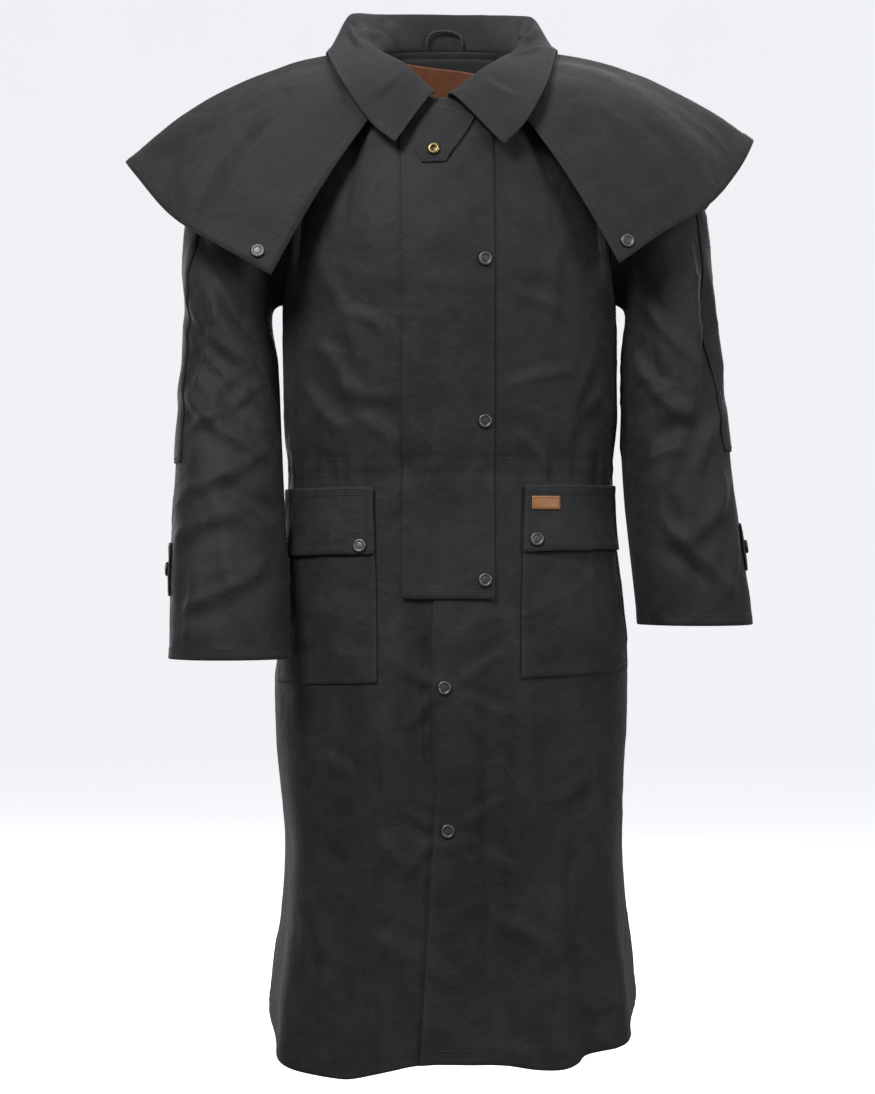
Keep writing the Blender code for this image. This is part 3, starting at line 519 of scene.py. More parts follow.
def uneven(places, scale, seed):
    """Smooth unevenness from -1 to 1: seeded values on a square lattice, blended between its points."""
    lattice = np.random.default_rng(seed).random((LATTICE, LATTICE)) * 2 - 1
    at = np.asarray(places) / scale
    cell = np.floor(at).astype(int)
    share = smooth(at - cell)
    i, j = cell[..., 0] % LATTICE, cell[..., 1] % LATTICE
    next_i, next_j = (i + 1) % LATTICE, (j + 1) % LATTICE
    s, t = share[..., 0], share[..., 1]
    low = lattice[i, j] * (1 - s) + lattice[next_i, j] * s
    high = lattice[i, next_j] * (1 - s) + lattice[next_i, next_j] * s
    return low * (1 - t) + high * t


def rumpled(places, seed, amount=1.0):
    """The cloth's own rumple: soft waves, and thin ridges where the sign of a second field turns."""
    warp = np.stack([uneven(places, 0.07, seed + 5), uneven(places, 0.07, seed + 6)], axis=-1) * 0.03
    soft = 0.0015 * uneven(places + warp, 0.085, seed) + 0.0011 * uneven(places + warp, 0.040, seed + 1)
    ridge = 1 - np.abs(uneven(places + warp, 0.062, seed + 2)) * 2.6
    fine = 1 - np.abs(uneven(places + warp, 0.030, seed + 3)) * 2.4
    where = smooth(0.5 + 1.2 * uneven(places, 0.120, seed + 4))
    return amount * (soft + where * (0.0012 * np.clip(ridge, 0, 1) ** 2 + 0.0006 * np.clip(fine, 0, 1) ** 2))


def creased(places, creases):
    """Listed creases: each is a ridge with a shallow trough at its side along a bowed line."""
    out = np.zeros(places.shape[:-1])
    for x0, z0, x1, z1, bow, width, height in creases:
        start = np.array([x0, z0])
        along = np.array([x1, z1]) - start
        length = np.hypot(*along)
        off = places - start
        share = off @ along / length**2
        across = (off @ np.array([-along[1], along[0]])) / length - bow * 4 * share * (1 - share)
        ends = smooth((share + 0.15) / 0.45) * smooth((1.15 - share) / 0.45)
        across = across / width
        out += height * ends * (np.exp(-(across**2)) - 0.55 * np.exp(-(((across - 1.7) / 1.3) ** 2)))
    return out


def puckered(along, away, size, reach, seed):
    """The small gathers beside a seam: waves along it that die away with the distance from it."""
    places = np.stack([along, 0 * along + 0.3], axis=-1)
    wave = uneven(places, 0.0085, seed) + 0.6 * uneven(places, 0.019, seed + 1)
    return size * wave * np.exp(-((np.abs(away) / reach) ** 1.3))


def shell(name, grid, wall, closed=False):
    """A sheet of cloth: the grid outside, the same grid a wall's thickness inside, and a rounded edge between
    them. It carries the distance to its nearest edge, and a map in metres across and up."""
    normals = outward(grid, closed)
    rows, columns = grid.shape[:2]
    inner = grid - normals * wall
    up, across = run(grid, 0), run(grid, 1)
    rim = from_ends(grid, 0) if closed else np.minimum(from_ends(grid, 0), from_ends(grid, 1))
    index = np.arange(rows * columns).reshape(rows, columns)
    if closed:
        index = np.hstack([index, index[:, :1]])
    corners = (index[:-1, :-1], index[:-1, 1:], index[1:, 1:], index[1:, :-1])
    outside = np.stack([corner.ravel() for corner in corners], axis=1)
    count = rows * columns
    if closed:
        loops = [index[0], index[-1][::-1]]
    else:
        sides = (index[0], index[1:, -1], index[-1, -2::-1], index[-2:0:-1, 0], index[0, :1])
        loops = [np.concatenate(sides)]
    points = [grid.reshape(-1, 3), inner.reshape(-1, 3)]
    faces = [outside, outside[:, ::-1] + count]
    start = 2 * count
    for loop in loops:
        ring = loop[:-1]
        middle = (points[0][ring] + points[1][ring]) / 2
        ahead = np.roll(middle, -1, axis=0) - np.roll(middle, 1, axis=0)
        beside = unit(np.cross(ahead, normals.reshape(-1, 3)[ring]))
        points.append(middle + beside * wall * 0.45)
        now = np.arange(len(ring))
        after = np.roll(now, -1)
        faces.append(np.stack([ring[now], start + now, start + after, ring[after]], axis=1))
        faces.append(np.stack([start + now, ring[now] + count, ring[after] + count, start + after], axis=1))
        start += len(ring)
    points = np.concatenate(points)
    faces = np.concatenate(faces)
    made = smooth_object(name, points, faces.tolist())
    mesh = made.data
    extra = len(points) - 2 * count
    values = np.concatenate([rim.ravel(), rim.ravel(), np.zeros(extra)])
    mesh.attributes.new("rim", "FLOAT", "POINT").data.foreach_set("value", values)
    flat = np.stack([across, up], axis=-1).reshape(-1, 2)
    flat = np.concatenate([flat, flat, np.zeros((extra, 2))])
    mesh.uv_layers.new(name="cloth_map").data.foreach_set("uv", flat[faces.ravel()].ravel())
    return made


def put_on(made, finish, slot, *nodes):
    """Gives a finished piece its material and its body, and hides the solids that it stands for; its slot is
    not used.
    """
    made.data.materials.append(finish.material)
    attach(made, "root")
    if nodes:
        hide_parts(*nodes)


def waxed_cotton(name, deep, worn, dry):
    """Waxed cotton: deep colour, paler where the wax has been rubbed, with a fine weave and small breaks."""
    finish = Finish(name)
    where = finish.places()
    rim = finish.stored("rim")
    clouds = finish.noise(where, 7.0, 5.0, 0.62)
    breaks = finish.noise(where, 34.0, 6.0, 0.7)
    grain = finish.noise(where, 900.0, 2.0, 0.6)
    wide_lines = finish.noise(where, 12.0, 3.0, 0.5)
    fine_lines = finish.noise(where, 30.0, 3.0, 0.55)
    wide_ridges = (1 - (wide_lines - 0.5).math("ABSOLUTE") * 11.0).clamped()
    fine_ridges = (1 - (fine_lines - 0.5).math("ABSOLUTE") * 9.0).clamped()
    edge = (1 - rim / 0.010).clamped()
    rubbed = wide_ridges * 0.30 + fine_ridges * 0.22
    worn_share = (clouds - 0.42) * 1.7 + (breaks - 0.5) * 1.5 + (grain - 0.5) * 0.5 + rubbed + edge * 0.25
    worn_share = worn_share.clamped()
    finish.feed(Base_Color=finish.mix(worn_share, deep, worn))
    finish.feed(Roughness=dry + 0.16 * (breaks - 0.5) + 0.08 * worn_share + 0.10 * (grain - 0.5))
    finish.keep(Specular_IOR_Level=0.28, Sheen_Weight=0.05, Sheen_Roughness=0.5)
    height = wide_ridges * wide_ridges * 0.30 + fine_ridges * fine_ridges * 0.25 + breaks * 1.0 + grain * 0.16
    finish.bump(height, 0.65, 0.0014)
    return finish


# Where the front's creases run, in millimetres: x and z of both ends, how far they bow, width and height
FRONT_CREASES = [
    (-185, -385, -120, -470, 10, 12, 4),
    (-200, -430, -130, -500, -8, 10, 3.2),
    (-165, -300, -115, -420, 6, 10, 1.8),
    (-110, -200, -85, -420, 4, 12, 1.4),
    (-120, -480, -66, -520, 4, 8, 2.2),
    (195, -390, 135, -500, 6, 10, 2.6),
    (210, -450, 140, -530, -10, 10, 3.2),
    (150, -240, 120, -410, -5, 10, 2),
    (90, -200, 78, -380, 4, 12, 1.4),
    (75, -500, 120, -545, 4, 8, 2.2),
    (-200, -1060, -160, -1230, 8, 13, 4),
    (-150, -860, -115, -1060, -12, 15, 3.8),
    (-95, -840, -60, -1180, 12, 16, 4.2),
    (-60, -735, -40, -960, -6, 12, 3.6),
    (-180, -900, -90, -955, 8, 10, 2.2),
    (-100, -980, -30, -1040, -6, 9, 2),
    (-130, -1110, -40, -1150, 8, 10, 2.4),
    (8, -812, 70, -770, 3, 6, 1.8),
    (10, -822, 80, -850, -3, 6, 1.8),
    (6, -830, 50, -905, 3, 6, 1.8),
    (-16, -812, -62, -785, 4, 7, 2.4),
    (-14, -824, -55, -870, -4, 7, 2.2),
    (12, -985, 75, -950, 3, 6, 1.8),
    (14, -996, 80, -1035, -3, 6, 1.8),
    (8, -1005, 46, -1080, 3, 6, 1.8),
    (-20, -985, -65, -955, 4, 7, 2.4),
    (-18, -1000, -55, -1045, -4, 7, 2),
    (60, -720, 92, -900, 10, 13, 4),
    (100, -860, 80, -1080, -10, 14, 3.6),
    (150, -830, 190, -1050, 10, 14, 4),
    (135, -1000, 150, -1250, -6, 11, 4.4),
    (200, -900, 120, -960, 6, 10, 2.4),
    (60, -1100, 130, -1140, 6, 10, 2.2),
    (170, -1120, 200, -1240, 4, 10, 3),
    (-70, -712, -88, -1300, 2, 21, 9.2),
    (-40, -708, -28, -960, 3, 13, -4.5),
    (-126, -780, -132, -1120, -4, 18, -6.2),
    (56, -735, 53, -1250, -3, 18, -9),
    (18, -720, 20, -1020, 2, 14, 3.6),
    (92, -840, 98, -1300, 4, 18, 5),
    (-205, -1100, -198, -1179, 2, 7, 4),
    (-140, -350, -70, -385, 6, 8, 2.6),
    (75, -330, 150, -360, 6, 8, 2.6),
    (-60, -460, -150, -440, 6, 8, 2.4),
    (65, -450, 160, -425, 6, 8, 2.6),
]
BACK_CREASES = [
    (-150, -420, -60, -520, 12, 14, 3.6),
    (160, -430, 70, -525, -12, 14, 3.8),
    (-50, -380, 60, -440, 10, 15, 2.6),
    (-120, -600, -150, -860, 12, 14, 4),
    (-30, -600, -20, -900, -10, 15, 4),
    (90, -590, 130, -840, 12, 14, 4.2),
    (200, -640, 220, -900, -10, 13, 3.2),
    (-220, -660, -210, -940, 10, 13, 3.4),
    (-160, -980, 0, -1060, 15, 12, 2.6),
    (40, -900, 200, -980, -15, 12, 2.6),
    (20, -980, 40, -1240, 10, 16, 4),
    (-200, -1020, -180, -1250, -10, 15, 4),
    (180, -1040, 220, -1250, 10, 15, 3.6),
]


def waist_gathers(along, height, seed):
    """The drawcord's tunnel: a low swelling at the waist with short upright gathers above and below it."""
    off = height - WAIST
    tunnel = 0.0011 * np.exp(-((off / 0.006) ** 4))
    waves = puckered(along, off, 0.0034, 0.024, seed) - 0.0014 * np.exp(-((off / 0.016) ** 2))
    return tunnel + waves


def relief(grid, middle, creases, seed):
    """How far the cloth of a body grid stands out of its plain form, calm towards the side seams."""
    along = run(grid, 1)
    along = along - along[:, middle : middle + 1]
    places = np.stack([along, grid[..., 2]], axis=-1)
    ends = from_ends(grid, 1)
    calm = smooth(ends / 0.030)
    top = smooth((grid.shape[0] - 1 - np.arange(grid.shape[0])) / 10.0)[:, None]
    out = rumpled(places, seed) + creased(places, np.array(creases) * MM)
    out += waist_gathers(along, grid[..., 2], seed + 20)
    hem = run(grid, 0)
    out += puckered(along, hem - 0.028, 0.0007, 0.018, seed + 30)
    out += puckered(grid[..., 2], ends, 0.0006, 0.014, seed + 40)
    return out * (0.25 + 0.75 * calm) * top


front = body_grid(front_turns, FRONT_STEPS, True)
front = front + outward(front) * relief(front, COLUMN["centre"], FRONT_CREASES, 100)[..., None]
front_out = outward(front)
back = body_grid(back_turns, BACK_STEPS, False)
back = back + outward(back) * relief(back, BACK_COLUMN[180], BACK_CREASES, 200)[..., None]
back_out = outward(back)


def edged(distance, band, rise=0.0007):
    """A turned edge: the cloth stands a little thicker along it, up to its row of stitches."""
    return rise * smooth((band - distance) / 0.002)


charcoal = waxed_cotton("waxed_cotton", (0.0066, 0.0067, 0.0073), (0.0185, 0.0187, 0.0199), 0.66)


def cotton_piece(node, grid, closed=False):
    """The shell of waxed cotton that stands for a node."""
    made = shell("coat_" + node, grid, CLOTH, closed)
    put_on(made, charcoal, "waxed_cotton", node)
    return made


HEM_BAND = 0.028
FACING = 0.030
last = COLUMN["underlap"]
left_grid = front[:, : last + 1]
left_grid = left_grid + front_out[:, : last + 1] * edged(run(left_grid, 0), HEM_BAND)[..., None]
front_left = cotton_piece("front_left", left_grid)

first = COLUMN["front_edge"]
columns = np.arange(first, COLUMN["right_side"] + 1)
lift = np.interp(columns, [last, COLUMN["right_middle"]], [LAYER, 0.0])
right_grid = front[:, first:] + front_out[:, first:] * lift[:, None]
right_hem, right_edge = run(right_grid, 0), run(right_grid, 1)
thicker = np.maximum(edged(right_hem, HEM_BAND), edged(right_edge, FACING))
curl = 0.0028 * smooth((0.018 - right_edge) / 0.018) * smooth((-0.715 - right_grid[..., 2]) / 0.03)
right_grid = right_grid + front_out[:, first:] * (thicker + curl)[..., None]
front_right = cotton_piece("front_right", right_grid)

back_grid = back + back_out * edged(run(back, 0), HEM_BAND)[..., None]
coat_back = cotton_piece("back", back_grid)

# The storm flap: a doubled strip of the same cloth, sewn along the left front's chest and snapped over
# the closure. It starts at the neck and ends free below the waist, with two rows of stitches there.
PIECE_INSET = 0.0065
STORM_LIFTS = table("line layers", [(0, 1.0), (1, 1.6), (2, 2.0), (6, 2.0)])


def inset_line(grid, normals, side, inset, ends=(0.0, 0.0)):
    """The line at a distance from one side of a grid: on each column, or row, the place that far along it,
    with the normals there. ends cuts off that much of the line at its start and its end."""
    both = np.concatenate([grid, normals], axis=-1)
    lines = {
        "low": both,
        "high": both[::-1],
        "first": both.swapaxes(0, 1),
        "last": both[:, ::-1].swapaxes(0, 1),
    }[side]
    away = run(lines[..., :3], 0)
    at = np.clip((away < inset).sum(axis=0), 1, len(lines) - 1)
    which = np.arange(lines.shape[1])
    before, after = away[at - 1, which], away[at, which]
    share = np.clip((inset - before) / np.maximum(after - before, 1e-9), 0, 1)[:, None]
    line = lines[at - 1, which] * (1 - share) + lines[at, which] * share
    along = run(line[None, :, :3], 1)[0]
    kept = (along >= ends[0]) & (along <= along[-1] - ends[1])
    return line[kept, :3], line[kept, 3:]


def rows_of_stitches(grid, sides, *insets, ends=None):
    """Lines along the named sides of a grid at each inset, kept off its corners by ends or the inset."""
    normals = outward(grid)
    return [
        inset_line(grid, normals, side, inset, [inset if ends is None else ends] * 2)
        for side in sides.split()
        for inset in insets
    ]


def along_line(places, along, values):
    """Values of a line's points, read at the places along it."""
    return np.stack([np.interp(places, along, column) for column in values.T], axis=1)


def stitch_mesh(lines, pitch=0.0042, length=0.0030, radius=0.00058, lift=0.0001):
    """Stitches along lines: on each step of the pitch lies one small spindle, four-sided through four rings,
    its middle rings thicker than its ends, half sunk in the cloth."""
    rings = np.array([(-0.5, 0.45), (-0.28, 1.0), (0.28, 1.0), (0.5, 0.45)])
    corners = np.radians([45, 135, 225, 315])[:, None]
    now = np.arange(4)
    after = (now + 1) % 4
    quads = [np.stack([low + now, low + after, low + 4 + after, low + 4 + now], axis=1) for low in (0, 4, 8)]
    one = np.concatenate([*quads, [[3, 2, 1, 0], [12, 13, 14, 15]]])
    points = []
    for line, normals in lines:
        along = run(line[None], 1)[0]
        places = np.arange(pitch / 2, along[-1], pitch)
        out = unit(along_line(places, along, normals))
        way = unit(along_line(places + 0.001, along, line) - along_line(places - 0.001, along, line))
        beside = unit(np.cross(way, out))[:, None, None]
        middle = (along_line(places, along, line) + out * lift)[:, None, None]
        out, way = out[:, None, None], way[:, None, None]
        round_it = (beside * np.cos(corners) + out * np.sin(corners)) * rings[None, :, None, 1:] * radius
        points.append((middle + way * rings[None, :, None, :1] * length + round_it).reshape(-1, 3))
    points = np.concatenate(points)
    first_points = np.arange(0, len(points), len(rings) * len(corners))
    return points, (first_points[:, None, None] + one).reshape(-1, 4)


thread = Finish("thread")
fibres = thread.noise(thread.places(), 700.0)
thread.feed(Base_Color=thread.mix(fibres, (0.005, 0.005, 0.005), (0.020, 0.020, 0.022)))
thread.keep(Roughness=0.55)


def sew(name, lines, **sizes):
    points, faces = stitch_mesh(lines, **sizes)
    put_on(smooth_object(name, points, faces.tolist()), thread, "waxed_cotton")


flap_rows = slice(ROW["storm_flap_end"], None)
flap_columns = slice(COLUMN["storm_flap_left"], COLUMN["storm_flap_right"] + 1)
line_names = list(FRONT_LINES)
flap_names = line_names[line_names.index("storm_flap_left") : line_names.index("storm_flap_right") + 1]
flap_places = [COLUMN[name] - COLUMN["storm_flap_left"] for name in flap_names]
flap_layers = np.interp(np.arange(len(flap_names)), STORM_LIFTS["line"], STORM_LIFTS["layers"])
flap_lift = LAYER * np.interp(np.arange(flap_places[-1] + 1), flap_places, flap_layers)
flap_plain = front[flap_rows, flap_columns]
flap_out = front_out[flap_rows, flap_columns]
flap_across, flap_up = run(flap_plain, 1), run(flap_plain, 0)
flap_edge = flap_across[:, -1:] - flap_across
flap_map = np.stack([flap_across, flap_up], axis=-1)
flap_own = 0.0010 * (1 + uneven(flap_map, 0.060, 311))
flap_own *= smooth(flap_across / 0.03) * smooth(flap_edge / 0.01 + 0.3)
flap_own += 0.0016 * smooth((0.05 - flap_up) / 0.05) * (1 + uneven(flap_map, 0.045, 312))
flap_own += edged(flap_across, PIECE_INSET, 0.0006) + edged(flap_up, 0.0105, 0.0005)
flap_own += np.abs(puckered(flap_up, flap_across - PIECE_INSET, 0.0007, 0.006, 313))
storm_grid = flap_plain + flap_out * (flap_lift + flap_own)[..., None]
storm_flap = cotton_piece("storm_flap", storm_grid)
storm_out = outward(storm_grid)
flap_stitches = rows_of_stitches(storm_grid, "first", PIECE_INSET, ends=0)
flap_stitches += rows_of_stitches(storm_grid, "low", 0.0080, 0.0115, ends=0)
sew("stitches_storm_flap", flap_stitches)

# Stitching of the body: rows of dark thread through the folded cloth, along the hem, the lapped front
# edge and its facing, and above and below the drawcord's tunnel.
HEM_STITCHES = 0.0155
FRONT_EDGE_STITCHES = 0.0050
TUNNEL_STITCHES = (-0.0085, 0.0085)
left_out, right_out = outward(left_grid), outward(right_grid)
below_flap = slice(ROW["storm_flap_end"])
front_stitches = rows_of_stitches(left_grid, "low", HEM_STITCHES, ends=0)
front_stitches += rows_of_stitches(right_grid, "low", HEM_STITCHES, ends=0)
for inset in (FACING, FRONT_EDGE_STITCHES):
    front_stitches.append(inset_line(right_grid[below_flap], right_out[below_flap], "first", inset))
sew("stitches_fronts", front_stitches)
sew("stitches_back", [inset_line(back_grid, back_out, "low", HEM_STITCHES)])


def along_row(grid, normals, height, columns):
    """The line of a grid at one height over the given columns."""
    at = int(np.argmin(np.abs(grid[:, grid.shape[1] // 2, 2] - height)))
    return grid[at, columns], normals[at, columns]


waist_stitches = []
for grid, normals, columns in (
    (left_grid, left_out, slice(2, COLUMN["storm_flap_left"])),
    (right_grid, right_out, slice(COLUMN["storm_flap_right"] - first, -2)),
):
    waist_stitches += [along_row(grid, normals, WAIST + off, columns) for off in TUNNEL_STITCHES]
sew("stitches_waist", waist_stitches)
back_waist = [along_row(back_grid, back_out, WAIST + off, slice(2, -2)) for off in TUNNEL_STITCHES]
sew("stitches_waist_back", back_waist)

# The patch pockets: squares of cloth sewn to the fronts at three sides, and their flaps, sewn above the
# mouth with two rows of stitches and snapped down at a corner.
POCKET_BAG = 0.0045
POCKETS = {"left": (400, (0.168, 0.212)), "right": (500, (0.168, 0.213))}
flap_grids = {}
for side, (seed, pocket_size) in POCKETS.items():
    low_column, high_column = sorted(COLUMN[side + edge] for edge in ("_pocket_outer", "_pocket_inner"))
    whole = (slice(ROW["pocket_bottom"], ROW["pocket_flap_top"] + 1), slice(low_column, high_column + 1))
    plain, out = front[whole], front_out[whole]
    across, up, edge = run(plain, 1), run(plain, 0), from_ends(plain, 1)
    places = np.stack([across, up], axis=-1)
    bag = POCKET_BAG * smooth(edge / 0.05) * smooth(up / 0.06) * smooth((up[-1] - up) / 0.05)
    bag = bag * (0.75 + 0.5 * uneven(places, 0.07, seed))
    bag += 0.0014 * smooth(edge / 0.02) * np.abs(uneven(places, 0.032, seed + 1)) * smooth(up / 0.02)
    own = LAYER + bag + edged(np.minimum(edge, up), PIECE_INSET, 0.0006)
    own += np.abs(puckered(up, edge - PIECE_INSET, 0.0006, 0.006, seed + 2))
    own += np.abs(puckered(across, up - PIECE_INSET, 0.0006, 0.006, seed + 3))
    mouth = ROW["pocket_flap_middle"] - ROW["pocket_bottom"] + 1
    pocket_grid = (plain + out * own[..., None])[:mouth]
    pocket = cotton_piece("pocket_" + side, pocket_grid)
    flap = slice(ROW["pocket_flap_bottom"] - ROW["pocket_bottom"], None)
    lie = up[flap] - up[flap][:1]
    seam = lie[-1] - lie
    flare = 0.0030 * smooth((0.05 - lie) / 0.05) * (1 + 0.8 * uneven(places[flap], 0.045, seed + 4))
    flap_away = 2 * LAYER + bag[flap] + 0.0010 + flare * smooth(edge[flap] / 0.035)
    flap_away += edged(np.minimum(edge[flap], lie), PIECE_INSET, 0.0006) + edged(seam, 0.008, 0.0004)
    flap_away += np.abs(puckered(across[flap], seam - 0.004, 0.0008, 0.006, seed + 5))
    flap_grids[side] = plain[flap] + out[flap] * flap_away[..., None]
    pocket_flap = cotton_piece("pocket_flap_" + side, flap_grids[side])
    pocket_stitches = rows_of_stitches(pocket_grid, "first last low", PIECE_INSET)
    pocket_stitches += rows_of_stitches(flap_grids[side], "first last low", PIECE_INSET)
    pocket_stitches += rows_of_stitches(flap_grids[side], "high", 0.0025, 0.0095, ends=PIECE_INSET)
    sew("stitches_pocket_" + side, pocket_stitches)

# The sleeves: one tube each, set in at the armhole and bent a little forwards, with a doubled patch over
# the elbow and a short tab at the cuff. Their cloth rumples in crossing wrinkles.
SLEEVES = {
    "left": table(
        "way x y z half_width half_depth",
        [
            (0.00, -0.2790, -0.022, -0.410, 0.0610, 0.080),
            (0.27, -0.2770, -0.056, -0.508, 0.0665, 0.079),
            (0.52, -0.2745, -0.088, -0.600, 0.0705, 0.076),
            (0.79, -0.2710, -0.116, -0.700, 0.0745, 0.072),
            (1.00, -0.2690, -0.132, -0.780, 0.0760, 0.067),
        ],
    ),
    "right": table(
        "way x y z half_width half_depth",
        [
            (0.00, 0.2860, -0.014, -0.400, 0.0615, 0.080),
            (0.35, 0.2940, -0.028, -0.521, 0.0690, 0.078),
            (0.60, 0.3015, -0.040, -0.605, 0.0725, 0.075),
            (0.82, 0.3090, -0.050, -0.680, 0.0725, 0.071),
            (1.00, 0.3150, -0.056, -0.741, 0.0720, 0.067),
        ],
    ),
}
SLEEVE_WAY_STEP = 0.0125
CUFF_HEM = 0.0125
SLEEVE_HEAD_ROWS = 56
SLEEVE_HEAD_REACH = 1.05
SLEEVE_HEAD_FALL = -0.30
SLEEVE_FALL_WAY = 0.11
SEAM_GAP = 0.0009
DEGREE = 0.0012
# Where the sleeves crease: turn and z of both ends, how far they bow, width and height, in degrees and mm
SLEEVE_CREASES = {
    "left": [
        (150, -235, 40, -400, 4, 18, -8.5),
        (120, -300, 30, -470, 3, 16, 6.5),
        (100, -560, 30, -600, 4, 13, -4.5),
        (250, -330, 320, -450, 6, 18, -7),
        (200, -520, 300, -560, 6, 15, -5.5),
        (165, -300, 60, -420, 10, 9, 4.2),
        (155, -360, 40, -500, -10, 10, 4.6),
        (150, -440, 30, -540, 8, 9, 4),
        (140, -500, 50, -440, 6, 8, 3.4),
        (100, -330, 130, -450, -6, 8, 3.2),
        (150, -580, 40, -520, 8, 9, 3.6),
        (155, -640, 70, -600, -6, 10, 3.4),
        (140, -720, 45, -660, 8, 10, 3.8),
        (90, -620, 60, -760, 6, 11, 3.4),
        (120, -650, 130, -770, -5, 10, 3),
        (210, -400, 330, -500, 8, 11, 4.2),
        (190, -610, 320, -640, -8, 11, 3.8),
        (230, -700, 330, -650, 6, 11, 3.4),
        (180, -200, 175, -330, 4, 12, 3),
    ],
    "right": [
        (120, -240, 100, -480, 4, 15, 7),
        (150, -300, 140, -440, 3, 14, -7),
        (60, -500, 120, -490, 3, 12, -4.5),
        (60, -640, 100, -690, 4, 14, -5.5),
        (220, -330, 310, -450, 6, 18, -7),
        (200, -520, 300, -560, 6, 15, -5.5),
        (40, -330, 110, -420, 8, 9, 4),
        (35, -400, 120, -500, -8, 10, 4.2),
        (130, -330, 70, -560, 10, 9, 3.6),
        (40, -470, 90, -440, 5, 8, 3.4),
        (45, -540, 95, -520, 6, 8, 3.6),
        (150, -470, 100, -560, -8, 9, 4),
        (140, -560, 80, -640, 8, 10, 3.8),
        (60, -600, 130, -700, -6, 10, 3.6),
        (90, -560, 75, -700, 5, 11, 3.4),
        (150, -620, 110, -720, 5, 10, 3),
        (210, -400, 330, -500, 8, 11, 4.2),
        (190, -600, 320, -620, -8, 11, 3.8),
        (230, -680, 330, -640, 6, 11, 3.4),
    ],
}
SLEEVE_SEEDS = {"left": 600, "right": 700}
SLEEVE_MAP = 1.3 * DEGREE
PATCH_TURNS = (144, 288)
PATCH_LOW = 0.65
PATCH_HEAD_ROWS = 32
CUFF_TAB_TURNS = (162, 252)
CUFF_TAB_WAYS = (0.20, 0.38)
cuff_tabs = {}


def sleeve_ring(rings, way, turns):
    """One ring of a sleeve: a level ellipse, its turn running from the inner side by the front outwards."""
    x, y, z, half_width, half_depth = curves(rings, way, "x y z half_width half_depth")
    x = x - np.sign(x) * half_width * np.cos(turns)
    y = y - half_depth * np.sin(turns)
    return np.stack([x, y, z + 0 * turns], axis=-1)


def within(degrees, ends):
    return np.flatnonzero((degrees >= ends[0] - 0.1) & (degrees <= ends[1] + 0.1))


